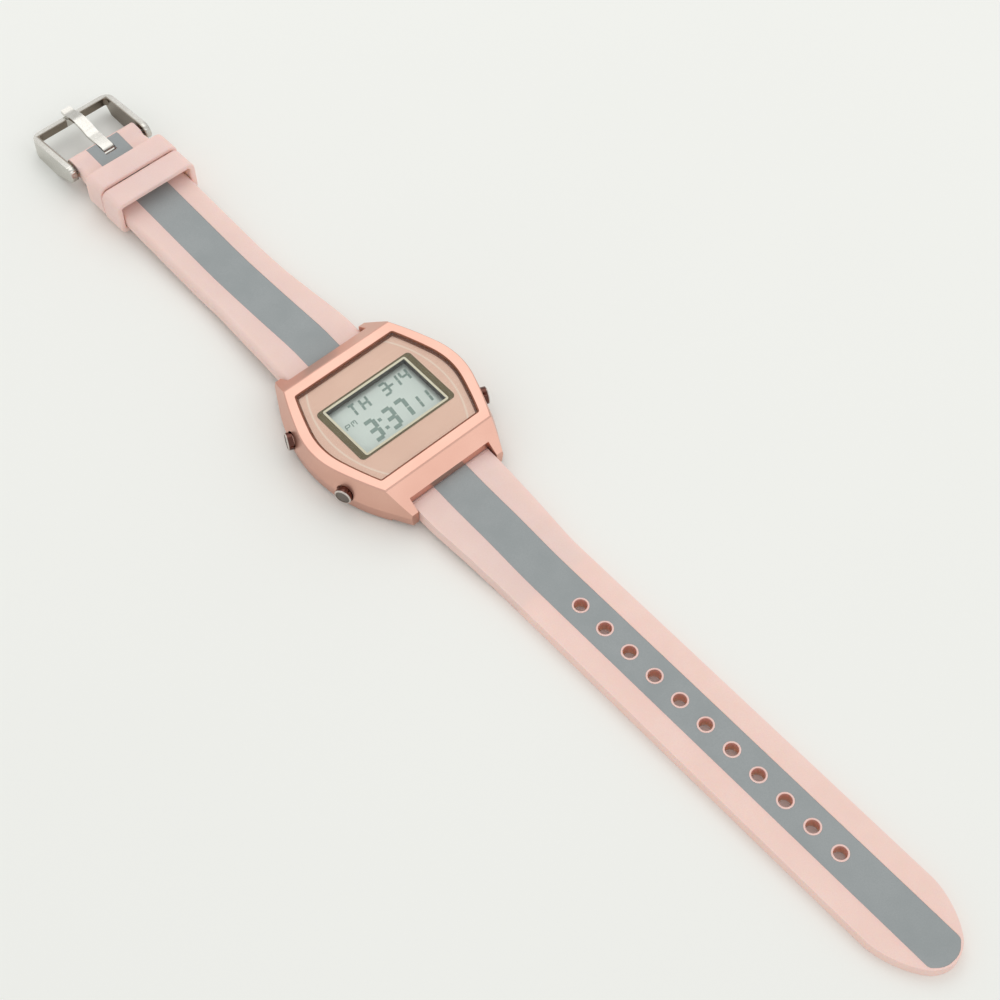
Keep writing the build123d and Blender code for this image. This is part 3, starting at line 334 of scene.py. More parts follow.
arcs = {"centre": 9.2, "radius": 22.6, "halfWidth": 0.05, "fade": 0.3, "share": 0.5,
        "colour": "fff0e6"}


def drawDialArcs():  # two thin lighter arcs, one near each side, where the plate was turned
    use = arcs
    tree, ground, place = openTint(finishes["dial_rose"])
    level = addNode(tree, "ShaderNodeVectorMath",
                    {"operation": "MULTIPLY", 1: (1 / mm, 1 / mm, 0)}, {0: place})
    halved = addNode(tree, "ShaderNodeVectorMath", {"operation": "ABSOLUTE"}, {0: level.outputs[0]})
    moved = addNode(tree, "ShaderNodeVectorMath",
                    {"operation": "ADD", 1: (use["centre"], 0, 0)}, {0: halved.outputs[0]})
    radius = addNode(tree, "ShaderNodeVectorMath", {"operation": "LENGTH"}, {0: moved.outputs[0]})
    off = addNode(tree, "ShaderNodeMath", {"operation": "SUBTRACT", 1: use["radius"]},
                  {0: radius.outputs["Value"]})
    wave = addNode(tree, "ShaderNodeMath", {"operation": "ABSOLUTE"}, {0: off.outputs[0]})
    line = addNode(tree, "ShaderNodeMapRange",
                   {"From Min": use["halfWidth"], "From Max": use["fade"],
                    "To Min": use["share"], "To Max": 0.0}, {"Value": wave.outputs[0]})
    closeTint(tree, addNode(tree, "ShaderNodeMix",
                            {"data_type": "RGBA", 7: hexColour(use["colour"])},
                            {0: line.outputs[0], 6: ground}))


liner = {"level": 7.82, "fade": 0.06, "colour": "453a30"}


def darkenLiner():  # its walls under the rim are in shadow all round
    use = liner
    tree, ground, place = openTint(finishes["liner_cream"])
    parts = addNode(tree, "ShaderNodeSeparateXYZ", {}, {0: place})
    low = addNode(tree, "ShaderNodeMapRange",
                  {"From Min": use["level"] * mm, "From Max": (use["level"] - use["fade"]) * mm},
                  {"Value": parts.outputs["Z"]})
    closeTint(tree, addNode(tree, "ShaderNodeMix",
                            {"data_type": "RGBA", 7: hexColour(use["colour"])},
                            {0: low.outputs[0], 6: ground}))


holeShade = {
    "first": 54.6, "halfPitch": 3.225,  # as the long strap's holes
    "rowMiddle": -86.85, "rowReach": 34,
    # the colour is painted shade on the walls inside the holes
    "inner": 1.26, "outer": 1.36, "colour": "d29c8f",
}


def shadeHoleWalls():  # painted shade: inside the strap's holes little light comes back, so their walls are painted darker
    use = holeShade
    tree, ground, place = openTint(finishes["pink_silicone"])
    parts = addNode(tree, "ShaderNodeSeparateXYZ", {}, {0: place})
    shifted = addNode(tree, "ShaderNodeMath", {"operation": "ADD", 1: use["first"] * mm},
                      {0: parts.outputs["Y"]})
    along = addNode(tree, "ShaderNodeMath", {"operation": "PINGPONG", 1: use["halfPitch"] * mm},
                    {0: shifted.outputs[0]})
    spot = addNode(tree, "ShaderNodeCombineXYZ", {},
                   {"X": parts.outputs["X"], "Y": along.outputs[0]})
    radius = addNode(tree, "ShaderNodeVectorMath", {"operation": "LENGTH"}, {0: spot.outputs[0]})
    inside = addNode(tree, "ShaderNodeMapRange",
                     {"From Min": use["outer"] * mm, "From Max": use["inner"] * mm},
                     {"Value": radius.outputs["Value"]})
    # only along the row of holes, not out to the tip
    near = addNode(tree, "ShaderNodeMath",
                   {"operation": "COMPARE", 1: use["rowMiddle"] * mm, 2: use["rowReach"] * mm},
                   {0: parts.outputs["Y"]})
    both = addNode(tree, "ShaderNodeMath", {"operation": "MULTIPLY"},
                   {0: inside.outputs[0], 1: near.outputs[0]})
    closeTint(tree, addNode(tree, "ShaderNodeMix",
                            {"data_type": "RGBA", 7: hexColour(use["colour"])},
                            {0: both.outputs[0], 6: ground}))


caps = {
    "out": (0.917, 0.399), "middle": (0.54, 3.95),  # along the face, and up
    "rimStart": 1.42, "rimEnd": 1.47, "rimColour": "d3cac3",
    # the barrel's colour is a painted reflection of the rose case in its dark polished side
    "frontStart": 19.74, "frontEnd": 19.82, "barrelReflection": "66443c",
}


def tintRimsPaintBarrelReflection():  # a lighter ring at the rim, a darker disc inside it, and a painted reflection of the rose case, red brown, on the barrel
    use = caps
    tree, ground, place = openTint(finishes["gunmetal"])
    outX, outY = use["out"]
    halved = addNode(tree, "ShaderNodeVectorMath", {"operation": "ABSOLUTE"}, {0: place})
    out = addNode(tree, "ShaderNodeVectorMath",
                  {"operation": "DOT_PRODUCT", 1: (outX, outY, 0)}, {0: halved.outputs[0]})
    side = addNode(tree, "ShaderNodeVectorMath",
                   {"operation": "DOT_PRODUCT", 1: (-outY, outX, 0)}, {0: halved.outputs[0]})
    parts = addNode(tree, "ShaderNodeSeparateXYZ", {}, {0: place})
    face = addNode(tree, "ShaderNodeCombineXYZ", {},
                   {"X": side.outputs["Value"], "Y": parts.outputs["Z"]})
    middleX, middleY = use["middle"]
    centred = addNode(tree, "ShaderNodeVectorMath",
                      {"operation": "SUBTRACT", 1: (middleX * mm, middleY * mm, 0)},
                      {0: face.outputs[0]})
    radius = addNode(tree, "ShaderNodeVectorMath", {"operation": "LENGTH"}, {0: centred.outputs[0]})
    rim = addNode(tree, "ShaderNodeMapRange",
                  {"From Min": use["rimStart"] * mm, "From Max": use["rimEnd"] * mm},
                  {"Value": radius.outputs["Value"]})
    ringed = addNode(tree, "ShaderNodeMix",
                     {"data_type": "RGBA", 7: hexColour(use["rimColour"])},
                     {0: rim.outputs[0], 6: ground})
    # painted reflection: behind the front face the barrel takes the rose case's red brown
    front = addNode(tree, "ShaderNodeMapRange",
                    {"From Min": use["frontStart"] * mm, "From Max": use["frontEnd"] * mm},
                    {"Value": out.outputs["Value"]})
    closeTint(tree, addNode(tree, "ShaderNodeMix",
                            {"data_type": "RGBA", 6: hexColour(use["barrelReflection"])},
                            {0: front.outputs[0], 7: ringed.outputs[2]}))


innerRing = {
    "half": 8.7, "far": 104.8,  # the outline that the shade keeps inside
    "shadeEnd": 0.08, "paleStart": 0.45, "tongueHalf": 1.5, "colour": "8a8074",
}


def shadeFrame():  # inside the buckle's ring the steel sees only the strap and itself
    use = innerRing
    tree, ground, place = openTint(finishes["polished_steel"])
    halved = addNode(tree, "ShaderNodeVectorMath", {"operation": "ABSOLUTE"}, {0: place})
    parts = addNode(tree, "ShaderNodeSeparateXYZ", {}, {0: halved.outputs[0]})
    side = addNode(tree, "ShaderNodeMath", {"operation": "SUBTRACT", 1: use["half"] * mm},
                   {0: parts.outputs["X"]})
    far = addNode(tree, "ShaderNodeMath", {"operation": "SUBTRACT", 1: use["far"] * mm},
                  {0: parts.outputs["Y"]})
    depth = addNode(tree, "ShaderNodeMath", {"operation": "MAXIMUM"},
                    {0: side.outputs[0], 1: far.outputs[0]})
    outer = addNode(tree, "ShaderNodeMapRange",
                    {"From Min": use["shadeEnd"] * mm, "From Max": use["paleStart"] * mm},
                    {"Value": depth.outputs[0]})
    tongue = addNode(tree, "ShaderNodeMath",
                     {"operation": "LESS_THAN", 1: use["tongueHalf"] * mm}, {0: parts.outputs["X"]})
    pale = addNode(tree, "ShaderNodeMath", {"operation": "MAXIMUM"},
                   {0: outer.outputs[0], 1: tongue.outputs[0]})
    closeTint(tree, addNode(tree, "ShaderNodeMix",
                            {"data_type": "RGBA", 6: hexColour(use["colour"])},
                            {0: pale.outputs[0], 7: ground}))


panelRims = {"upper": (5.4, 6.7), "right": (8.7, 9.9), "share": 0.8, "colour": "5c5a54"}


def shadePanel():  # deep under its window, the panel is darker by the upper and right rims
    use = panelRims
    tree, ground, place = openTint(finishes["lcd_glass"])
    parts = addNode(tree, "ShaderNodeSeparateXYZ", {}, {0: place})
    upper = addNode(tree, "ShaderNodeMapRange",
                    {"From Min": use["upper"][0] * mm, "From Max": use["upper"][1] * mm},
                    {"Value": parts.outputs["Y"]})
    right = addNode(tree, "ShaderNodeMapRange",
                    {"From Min": use["right"][0] * mm, "From Max": use["right"][1] * mm},
                    {"Value": parts.outputs["X"]})
    more = addNode(tree, "ShaderNodeMath", {"operation": "MAXIMUM"},
                   {0: upper.outputs[0], 1: right.outputs[0]})
    share = addNode(tree, "ShaderNodeMath", {"operation": "MULTIPLY", 1: use["share"]},
                    {0: more.outputs[0]})
    closeTint(tree, addNode(tree, "ShaderNodeMix",
                            {"data_type": "RGBA", 7: hexColour(use["colour"])},
                            {0: share.outputs[0], 6: ground}))


def dressNodes():  # every CAD node takes the finish of its slot
    for entry in frame["record"]["subparts"]:
        piece = nodes[entry["node"]]
        piece.data.materials.clear()
        piece.data.materials.append(finishes[entry["material_slot"]])


drawDialArcs()
darkenLiner()
shadeHoleWalls()
tintRimsPaintBarrelReflection()
shadeFrame()
shadePanel()
dressNodes()
print("finishes:", len(finishes))

# Modelling helpers. Meshes are in metres; middle() and the tests that use it are in millimetres.
working = {
    "weld": 0.002, "copyWeld": 0.001,
    "flat": 0.5, "smooth": 35, "sharp": 60,  # degrees
    "near": 0.05, "same": 0.01,  # how far an edge or a point may be from where it is looked for
    "upright": 0.3,  # least height of an upright edge
    "drillSides": 40, "endSteps": 7,
}


def startPiece(name, add, **size):
    bpy.ops.object.select_all(action="DESELECT")
    add(**size)
    piece = bpy.context.active_object
    piece.name = name
    bpy.ops.object.transform_apply(location=True, rotation=True, scale=True)
    return piece


def edit(piece, on=True):
    bpy.ops.object.select_all(action="DESELECT")
    bpy.context.view_layer.objects.active = piece
    piece.select_set(True)
    if on:
        bpy.ops.object.mode_set(mode="EDIT")


def leave():
    bpy.ops.object.mode_set(mode="OBJECT")


def pick(piece, kind, test):  # selects only the vertices, edges or faces that pass the test
    bpy.ops.mesh.select_mode(type=kind)
    bpy.ops.mesh.select_all(action="DESELECT")
    mesh = bmesh.from_edit_mesh(piece.data)
    mesh.normal_update()
    items = {"VERT": mesh.verts, "EDGE": mesh.edges, "FACE": mesh.faces}[kind]
    found = [item for item in items if test(item)]
    for item in found:
        item.select_set(True)
    bmesh.update_edit_mesh(piece.data)
    return len(found)


def middle(item):  # of an edge or face, in millimetres
    return sum((v.co for v in item.verts), Vector()) / len(item.verts) / mm


def sharp(edge, least=working["sharp"]):
    return len(edge.link_faces) == 2 and degrees(edge.calc_face_angle()) > least


def roundEdges(piece, test, size, segments=3):
    if pick(piece, "EDGE", test):
        bpy.ops.mesh.bevel(offset=size * mm, segments=segments, affect="EDGES", clamp_overlap=True)


def addModifier(piece, kind, **settings):
    edit(piece, False)
    modifier = piece.modifiers.new(kind.lower(), kind)
    for key, value in settings.items():
        setattr(modifier, key, value)
    bpy.ops.object.modifier_apply(modifier=modifier.name)


def cut(piece, tool, way="DIFFERENCE"):
    addModifier(piece, "BOOLEAN", operation=way, solver="EXACT", object=tool)
    bpy.data.objects.remove(tool)


def flatten():  # merges the selected faces that lie in one plane
    bpy.ops.mesh.dissolve_limited(angle_limit=radians(working["flat"]))


def copyOfNode(name, source):  # merged, with its flat faces made whole, and left in edit mode
    edit(nodes[source], False)
    bpy.ops.object.duplicate()
    piece = bpy.context.active_object
    piece.name = name
    edit(piece)
    bpy.ops.mesh.select_all(action="SELECT")
    bpy.ops.mesh.remove_doubles(threshold=working["copyWeld"] * mm)
    flatten()
    return piece


def finishPiece(piece, finish, body, *replaced):
    edit(piece)
    bpy.ops.mesh.select_all(action="SELECT")
    bpy.ops.mesh.remove_doubles(threshold=working["weld"] * mm)
    bpy.ops.mesh.normals_make_consistent(inside=False)
    leave()
    bpy.ops.object.shade_smooth_by_angle(angle=radians(working["smooth"]))
    addModifier(piece, "WEIGHTED_NORMAL", keep_sharp=True)
    piece.data.materials.clear()
    piece.data.materials.append(finishes[finish])
    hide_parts(*replaced)
    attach(piece, body)


def layRibbon(name, rows, side):  # an end face, extruded along the strap row by row
    y, half, top, bottom = rows[0]
    piece = startPiece(name, bpy.ops.mesh.primitive_plane_add, size=2 * mm, rotation=(pi / 2, 0, 0))
    edit(piece)
    bpy.ops.mesh.select_all(action="SELECT")
    bpy.ops.transform.resize(value=(half, 1, (top - bottom) / 2))
    bpy.ops.transform.translate(value=(0, side * y * mm, (top + bottom) / 2 * mm))
    for row in rows[1:]:
        nextY, nextHalf, nextTop, nextBottom = row
        step = (0, side * (nextY - y) * mm, (nextTop + nextBottom - top - bottom) / 2 * mm)
        bpy.ops.mesh.extrude_region_move(TRANSFORM_OT_translate={"value": step})
        centre = (0, side * nextY * mm, (nextTop + nextBottom) / 2 * mm)
        wide, high = nextHalf / half, (nextTop - nextBottom) / (top - bottom)
        bpy.ops.transform.resize(value=(wide, 1, high), center_override=centre)
        y, half, top, bottom = row
    bpy.ops.mesh.select_all(action="SELECT")
    bpy.ops.mesh.normals_make_consistent(inside=False)
    return piece


def roundCorner(piece, x, y, size, segments):  # upright edges at +x and -x
    def isCorner(e):
        a, b = e.verts
        place = middle(e)
        return (abs(abs(place.x) - x) < working["near"] and abs(place.y - y) < working["near"]
                and abs(a.co.z - b.co.z) > working["upright"] * mm)
    roundEdges(piece, isCorner, size, segments)


def roundEnd(piece, y, size):  # the two level edges across the end
    def isAcross(e):
        place = middle(e)
        return (abs(place.x) < working["same"] and abs(place.y - y) < working["near"]
                and e.calc_length() > mm)
    roundEdges(piece, isAcross, size, working["endSteps"])


def drill(piece, place, radius, depth, turn=(0, 0, 0), count=1, pitch=0):
    tool = startPiece("drill", bpy.ops.mesh.primitive_cylinder_add,
                      vertices=working["drillSides"], radius=radius * mm, depth=depth * mm,
                      location=[p * mm for p in place], rotation=turn)
    if count > 1:
        addModifier(tool, "ARRAY", count=count, use_relative_offset=False,
                    use_constant_offset=True, constant_offset_displace=(0, pitch * mm, 0))
    cut(piece, tool)


sideways = (0, pi / 2, 0)  # turns a cylinder from upright to lie along x

# Both straps: their side edges, the inlaid stripe and the holes for the spring bars.
straps = {
    "rootY": 17.0, "rootRound": 1.59, "sidesFrom": 18.7, "offMiddle": 1,
    "topEdge": 1.05, "topSteps": 5, "topDepth": 1.2,  # how far down an upper side edge may lie
    "lowEdge": 0.4, "lowSteps": 3, "lowDepth": 1.5,  # how far down a lower one lies at least
    "stripe": 3.95, "stripeDepth": 0.5, "stripeStart": 18.15,
    "stripeEdge": 0.1, "stripeSteps": 2,
    "proud": 1.0,  # how far the tools that cut the channels stand over the straps
    "barY": 18.6, "barZ": 2.9, "barHole": 0.8, "barDepth": 24,
}


def topOf(rows, y):
    for a, b in zip(rows, rows[1:]):
        if a[0] <= y <= b[0]:
            return a[2] + (b[2] - a[2]) * (y - a[0]) / (b[0] - a[0])


def onTop(rows, edge):  # an edge above the middle of the strap's thickness
    y = min(max(abs(middle(edge).y), rows[0][0]), rows[-1][0])
    return middle(edge).z > topOf(rows, y) - straps["topDepth"]


def roundSides(strap, rows, end):  # along the strap: a wide curve above, a tight one below
    def isSide(e):
        place = middle(e)
        return (sharp(e) and straps["sidesFrom"] < abs(place.y) < end
                and abs(place.x) > straps["offMiddle"])

    def isLow(e):
        low = middle(e)
        return (isSide(e) and not onTop(rows, e)
                and low.z < topOf(rows, abs(low.y)) - straps["lowDepth"])
    roundEdges(strap, lambda e: isSide(e) and onTop(rows, e), straps["topEdge"],
               straps["topSteps"])
    roundEdges(strap, isLow, straps["lowEdge"], straps["lowSteps"])


def layStripe(name, rows, end, above, side):
    start, half, depth = straps["stripeStart"], straps["stripe"], straps["stripeDepth"]
    stations = [start] + [r[0] for r in rows if start < r[0] < end] + [end]
    tops = [topOf(rows, y) for y in stations]
    return layRibbon(name, [(y, half, top + above, top - depth) for y, top in zip(stations, tops)],
                     side)


def drillBarHole(strap, y, z):
    drill(strap, (0, y, z), straps["barHole"], straps["barDepth"], turn=sideways)


# Long strap with its inlaid stripe and eleven holes.
longStrap = {
    "rows": [  # distance from the middle, half width, top, bottom
        (17.0, 9.5, 4.5, 1.3), (18.7, 9.5, 4.45, 1.3), (20.2, 9.5, 4.34, 1.26),
        (22.5, 9.5, 4.1, 1.2), (25.0, 9.44, 3.93, 1.14), (28.0, 9.27, 3.8, 1.06),
        (31.0, 9.09, 3.71, 0.98), (33.5, 8.95, 3.6, 0.87), (36.0, 8.8, 3.42, 0.67),
        (39.0, 8.63, 3.15, 0.4), (41.5, 8.49, 2.93, 0.18), (44.0, 8.4, 2.79, 0.03),
        (47.0, 8.4, 2.74, 0.0), (131.9, 8.4, 2.44, 0.0), (144.85, 8.4, 2.4, 0.0),
    ],
    "shoulderRow": 131.9,
    "tip": {"half": 8.4, "shoulder": 138.43, "shoulderRound": 6.3, "shoulderSteps": 12,
            "noseHalf": 2.37, "nose": 144.85, "noseRound": 2.34, "noseSteps": 8},
    "stripeTip": {"half": 3.95, "shoulder": 142.6, "shoulderRound": 0.6, "shoulderSteps": 3,
                  "noseHalf": 1.7, "nose": 144.4, "noseRound": 1.2, "noseSteps": 6},
    "sidesTo": 145, "stripeTopFrom": 2.1,
    "holes": 11, "holeFirst": -54.6, "pitch": -6.45, "holeZ": 3, "hole": 1.25, "holeDepth": 12,
    "holeEdge": 0.22, "holeSteps": 3, "holeRim": 0.38, "rimDepth": 8,
    "holeRow": (-125, -50), "holeReach": 1.3,  # where the holes' edges are looked for
}


def shapeTip(ribbon, tip):  # narrows the end, moves the row before it out and rounds both
    row = longStrap["shoulderRow"]
    pick(ribbon, "VERT", lambda v: v.co.y < (working["near"] - tip["nose"]) * mm)
    bpy.ops.transform.resize(value=(tip["noseHalf"] / tip["half"], 1, 1))
    pick(ribbon, "VERT", lambda v: abs(v.co.y + row * mm) < working["same"] * mm)
    bpy.ops.transform.translate(value=(0, (row - tip["shoulder"]) * mm, 0))
    roundCorner(ribbon, tip["half"], -tip["shoulder"], tip["shoulderRound"], tip["shoulderSteps"])
    roundCorner(ribbon, tip["noseHalf"], -tip["nose"], tip["noseRound"], tip["noseSteps"])


def makeLongStripe(name):
    use = longStrap
    stripe = layStripe(name, use["rows"], use["stripeTip"]["nose"], straps["proud"], -1)
    shapeTip(stripe, use["stripeTip"])  # a thin rim inside the strap's tip
    leave()
    drill(stripe, (0, use["holeFirst"], use["holeZ"]), use["hole"] + use["holeRim"],
          use["rimDepth"], count=use["holes"], pitch=use["pitch"])
    return stripe


def makeLongStrap():
    use = longStrap
    strap = layRibbon("longStrap", use["rows"], -1)
    shapeTip(strap, use["tip"])
    roundEnd(strap, -straps["rootY"], straps["rootRound"])
    roundSides(strap, use["rows"], use["sidesTo"])
    leave()
    bpy.ops.object.duplicate()
    blank = bpy.context.active_object
    cut(strap, makeLongStripe("channel"))
    drill(strap, (0, use["holeFirst"], use["holeZ"]), use["hole"], use["holeDepth"],
          count=use["holes"], pitch=use["pitch"])
    drillBarHole(strap, -straps["barY"], straps["barZ"])
    low, high = use["holeRow"]
    edit(strap)
    roundEdges(strap, lambda e: sharp(e) and abs(middle(e).x) < use["holeReach"]
               and low < middle(e).y < high, use["holeEdge"], use["holeSteps"])
    leave()
    finishPiece(strap, "pink_silicone", "long_strap", "strap_long")
    stripe = makeLongStripe("longStripe")
    cut(stripe, blank, "INTERSECT")  # its top follows the strap's, over the rounded tip too
    edit(stripe)
    roundEdges(stripe, lambda e: sharp(e) and middle(e).z > use["stripeTopFrom"],
               straps["stripeEdge"], straps["stripeSteps"])
    leave()
    finishPiece(stripe, "grey_silicone", "long_strap", "stripe_long")


makeLongStrap()
print("long strap")

# Short strap with its moulded loop, and the loop that slides.
shortStrap = {
    "rows": [  # distance from the middle, half width, top, bottom
        (17.0, 9.5, 4.5, 1.3), (18.7, 9.5, 4.55, 1.36), (20.2, 9.5, 4.7, 1.58),
        (21.8, 9.5, 4.87, 1.86), (23.5, 9.5, 5.02, 2.1), (26.0, 9.38, 5.0, 2.16),
        (28.5, 9.24, 4.87, 2.04), (31.0, 9.09, 4.68, 1.86), (34.0, 8.92, 4.47, 1.66),
        (38.0, 8.69, 4.25, 1.45), (42.0, 8.46, 4.06, 1.25), (46.0, 8.4, 3.91, 1.1),
        (49.0, 8.4, 3.83, 1.02), (52.0, 8.4, 3.88, 1.08), (55.0, 8.4, 4.02, 1.22),
        (88.6, 8.4, 5.82, 3.0), (90.2, 8.15, 5.9, 2.95), (92.1, 8.15, 6.01, 2.5),
        (94.87, 8.15, 6.06, 2.46),
    ],
    "endY": 94.87, "endRound": 1.79, "sidesTo": 90, "stripeEnd": 93.7, "stripeTopFrom": 3.6,
    "slotHalf": 1.4, "slotStart": 89.95, "slotLength": 6, "slotHeight": 12, "slotZ": 4,
    "barY": 92.0, "barZ": 4.197,  # the buckle's bar
}
loop = {
    "half": 9.8, "top": 3.65, "bottom": -4.15, "innerTop": 2.5, "innerBottom": -2.95,
    "wall": 1.25, "corner": 1.7, "cornerSteps": 7, "edge": 0.35, "edgeSteps": 3,
    "rise": 3.066,  # degrees, with the strap
    "slope": 2.25 / 42, "startY": 50.0, "startZ": 3.75,
    "free": 73.8, "freeLength": 5.8, "fixed": 79.9, "fixedLength": 5.4,
}


def makeLoop(name, start, length):
    use = loop
    high = use["top"] - use["bottom"]
    innerHigh = use["innerTop"] - use["innerBottom"]
    same = working["same"]
    ring = startPiece(name, bpy.ops.mesh.primitive_cube_add, size=mm,
                      scale=(2 * use["half"], length, high),
                      location=(0, length / 2 * mm, (use["top"] + use["bottom"]) / 2 * mm))
    edit(ring)
    roundEdges(ring, lambda e: abs(abs(middle(e).x) - use["half"]) < same
               and abs(middle(e).y - length / 2) < same, use["corner"], use["cornerSteps"])
    pick(ring, "FACE", lambda f: abs(f.normal.y) > 0.9)  # the two open ends
    bpy.ops.mesh.inset(thickness=use["wall"] * mm)
    bpy.ops.transform.resize(value=(1, 1, innerHigh / (high - 2 * use["wall"])))
    drop = (use["innerTop"] + use["innerBottom"] - use["top"] - use["bottom"]) / 2
    bpy.ops.transform.translate(value=(0, 0, drop * mm))
    bpy.ops.mesh.bridge_edge_loops()
    roundEdges(ring, lambda e: sharp(e) and not same <= middle(e).y <= length - same,
               use["edge"], use["edgeSteps"])
    # lean it to the strap's rise
    bpy.ops.mesh.select_all(action="SELECT")
    bpy.ops.mesh.normals_make_consistent(inside=False)
    bpy.ops.transform.rotate(value=radians(use["rise"]), orient_axis="X",
                             center_override=(0, 0, 0))
    along = (start - use["startY"]) * use["slope"]
    bpy.ops.transform.translate(value=(0, start * mm, (use["startZ"] + along) * mm))
    leave()
    return ring


def makeShortStripe(name, above):
    stripe = layStripe(name, shortStrap["rows"], shortStrap["stripeEnd"], above, 1)
    leave()
    return stripe


def cutSlot(piece):  # the opening for the tongue
    use = shortStrap
    length = use["slotLength"]
    slot = startPiece("slotCutter", bpy.ops.mesh.primitive_cube_add, size=mm,
                      scale=(2 * use["slotHalf"], length, use["slotHeight"]),
                      location=(0, (use["slotStart"] + length / 2) * mm, use["slotZ"] * mm))
    cut(piece, slot)


def makeShortStrap():
    use = shortStrap
    strap = layRibbon("shortStrap", use["rows"], 1)
    roundEnd(strap, straps["rootY"], straps["rootRound"])
    roundEnd(strap, use["endY"], use["endRound"])
    roundSides(strap, use["rows"], use["sidesTo"])
    roundEdges(strap, lambda e: sharp(e) and middle(e).y > use["sidesTo"], straps["lowEdge"],
               straps["lowSteps"])
    leave()
    cut(strap, makeShortStripe("channel", straps["proud"]))
    cut(strap, makeLoop("mouldedLoop", loop["fixed"], loop["fixedLength"]), "UNION")
    cutSlot(strap)
    drillBarHole(strap, use["barY"], use["barZ"])
    drillBarHole(strap, straps["barY"], straps["barZ"])
    finishPiece(strap, "pink_silicone", "short_strap", "strap_short")
    stripe = makeShortStripe("shortStripe", 0.0)
    cutSlot(stripe)
    edit(stripe)
    roundEdges(stripe, lambda e: sharp(e) and e.verts[0].co.z > use["stripeTopFrom"] * mm,
               straps["stripeEdge"], straps["stripeSteps"])
    leave()
    finishPiece(stripe, "grey_silicone", "short_strap", "stripe_short")


makeShortStrap()
freeLoop = makeLoop("freeLoop", loop["free"], loop["freeLength"])
finishPiece(freeLoop, "pink_silicone", "free_loop", "free_loop")
print("short strap and loops")

# Buckle: the frame from its CAD shape with rounded edges, and the bent tongue.
buckle = {
    "frameEdge": 0.6, "frameSteps": 4, "frameSharp": 35,
    "barY": 92.0, "barZ": 4.197, "barClear": 0.8,
    "tongueRows": [  # distance from the watch's middle, half width, top, bottom
        (91.0, 1.25, 5.7, 5.3), (91.15, 1.28, 5.98, 5.32), (91.45, 1.28, 6.12, 5.36),
        (91.85, 1.28, 6.19, 5.42), (92.4, 1.28, 6.17, 5.5), (93.0, 1.3, 6.14, 5.45),
        (95.0, 1.3, 5.96, 5.23), (96.4, 1.3, 5.78, 5.05), (97.1, 1.3, 5.74, 5.0),
        (97.7, 1.3, 5.84, 5.08), (98.3, 1.3, 6.04, 5.26), (98.9, 1.3, 6.22, 5.44),
        (99.6, 1.3, 6.36, 5.58), (100.5, 1.3, 6.45, 5.67), (101.5, 1.3, 6.46, 5.68),
        (102.5, 1.3, 6.38, 5.6), (103.4, 1.28, 6.18, 5.4), (104.1, 1.26, 5.88, 5.1),
        (104.7, 1.24, 5.62, 4.84), (105.3, 1.22, 5.46, 4.68), (106.0, 1.2, 5.4, 4.62),
        (107.1, 1.15, 5.38, 4.62),
    ],
    "tongueEdge": 0.28, "tongueSteps": 3, "tongueSharp": 50,
    "eye": 1.6, "eyeWidth": 2.6, "eyeSides": 48, "hole": 0.8, "holeDepth": 6,
}


def makeFrame():
    use = buckle
    ring = copyOfNode("buckleFrame", "buckle_frame")

    def awayFromBar(e):
        place = middle(e)
        return (place - Vector((place.x, use["barY"], use["barZ"]))).length > use["barClear"]
    roundEdges(ring, lambda e: sharp(e, use["frameSharp"]) and awayFromBar(e),
               use["frameEdge"], use["frameSteps"])
    leave()
    finishPiece(ring, "polished_steel", "frame", "buckle_frame")


def makeTongue():
    use = buckle
    strip = layRibbon("buckleTongue", use["tongueRows"], 1)
    leave()
    eye = startPiece("eye", bpy.ops.mesh.primitive_cylinder_add, vertices=use["eyeSides"],
                     radius=use["eye"] * mm, depth=use["eyeWidth"] * mm,
                     location=(0, use["barY"] * mm, use["barZ"] * mm), rotation=sideways)
    cut(strip, eye, "UNION")
    edit(strip)
    bpy.ops.mesh.select_all(action="SELECT")
    flatten()
    roundEdges(strip, lambda e: sharp(e, use["tongueSharp"]), use["tongueEdge"],
               use["tongueSteps"])
    leave()
    drill(strip, (0, use["barY"], use["barZ"]), use["hole"], use["holeDepth"], turn=sideways)
    finishPiece(strip, "polished_steel", "tongue", "buckle_tongue")


makeFrame()
makeTongue()
print("buckle")

# Crystal gasket: flush with the glass, with a thin lip under its edge.
gasket = {"upperFrom": 8.3, "raise": 0.13, "lipTop": 7.92, "lip": 0.38}


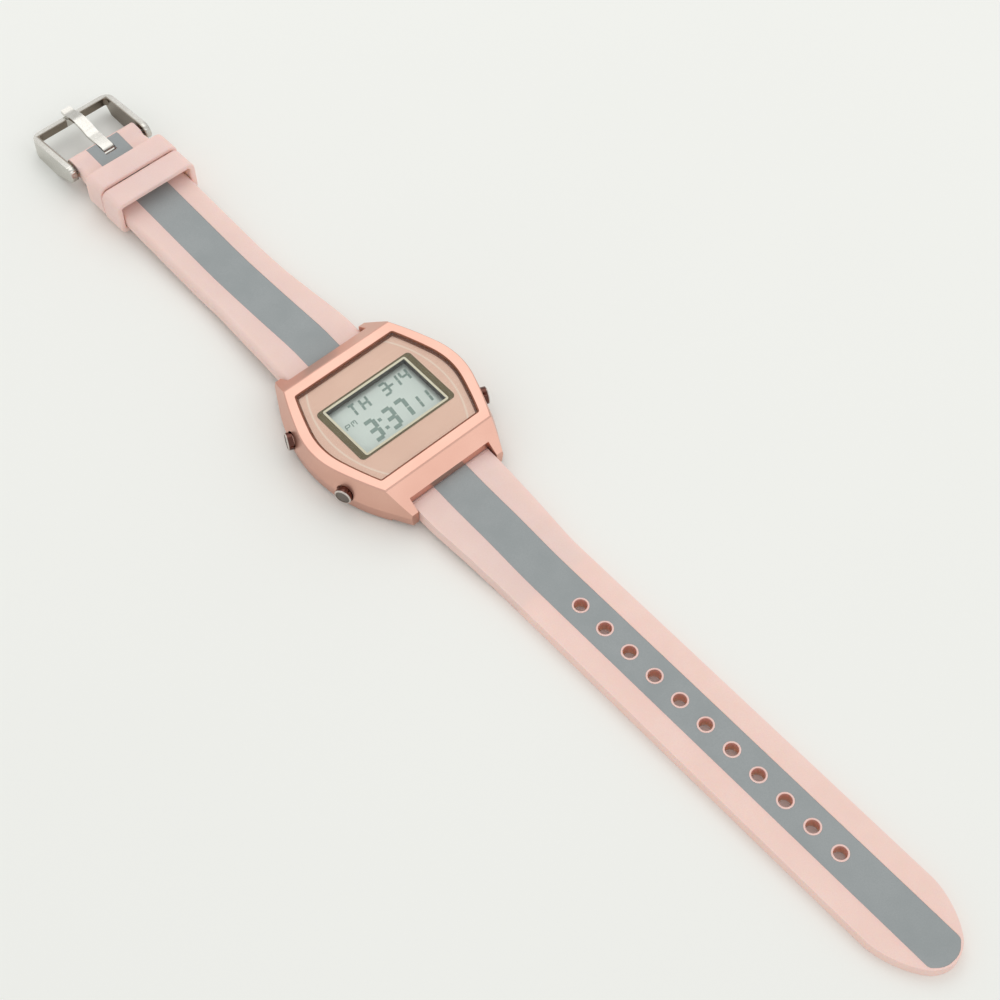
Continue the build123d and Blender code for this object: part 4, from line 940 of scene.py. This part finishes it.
def makeGasket():
    use = gasket
    ring = copyOfNode("crystalGasket", "crystal_gasket")
    pick(ring, "VERT", lambda v: v.co.z > use["upperFrom"] * mm)
    bpy.ops.transform.translate(value=(0, 0, use["raise"] * mm))
    bpy.ops.mesh.select_all(action="SELECT")
    bpy.ops.mesh.bisect(plane_co=(0, 0, use["lipTop"] * mm), plane_no=(0, 0, 1))

    def isInner(f):  # upright and facing the middle
        return abs(f.normal.z) < 0.1 and f.normal.dot(f.calc_center_median()) < 0
    pick(ring, "FACE", lambda f: isInner(f) and middle(f).z < use["lipTop"])
    bpy.ops.mesh.extrude_region_shrink_fatten(
        TRANSFORM_OT_shrink_fatten={"value": use["lip"] * mm})
    leave()
    finishPiece(ring, "gasket_dark", "case", "crystal_gasket")


makeGasket()
print("crystal gasket")

# Pushers: the CAD caps with a turned rim around a slightly sunk disc, and their springs.
pusher = {
    "marks": (("10", -1, 1), ("8", -1, -1), ("4", 1, -1)),  # hour, and the signs of x and y
    "out": (0.917, 0.399),  # the way out, for the signs + and +
    "rim": 0.12, "sunk": 0.07, "rimEdge": 0.05, "rimSteps": 2,
    "frontDepth": 0.03, "frontFacing": 0.99,  # what counts as the cap's front face
    "seat": (16.325, 7.691, 3.95), "springKeep": 0.66,
}


def makePusher(mark, out):
    use = pusher
    cap = copyOfNode("pusherCap" + mark, "pusher_" + mark)
    reach = max(v.co.dot(out) for v in cap.data.vertices)

    def isFront(f):
        depth = (f.calc_center_median() - out * reach).dot(out)
        return f.normal.dot(out) > use["frontFacing"] and depth > -use["frontDepth"] * mm
    pick(cap, "FACE", isFront)
    bpy.ops.mesh.inset(thickness=use["rim"] * mm)
    bpy.ops.mesh.extrude_region_move(TRANSFORM_OT_translate={"value": -out * use["sunk"] * mm})
    bpy.ops.mesh.region_to_loop()
    bpy.ops.mesh.bevel(offset=use["rimEdge"] * mm, segments=use["rimSteps"], affect="EDGES")
    leave()
    finishPiece(cap, "gunmetal", "pusher_" + mark + "_body", "pusher_" + mark)


def makeSpring(mark):  # the spring between the seal and the cap, copied with a mesh of its own
    spring = copyOfNode("pusherSpring" + mark, "pusher_spring_" + mark)
    leave()
    finishPiece(spring, "steel", "case", "pusher_spring_" + mark)
    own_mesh(spring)


for mark, sideX, sideY in pusher["marks"]:
    outX, outY = pusher["out"]
    out = (sideX * outX, sideY * outY, 0)
    makePusher(mark, Vector(out))
    makeSpring(mark)
print("pushers")
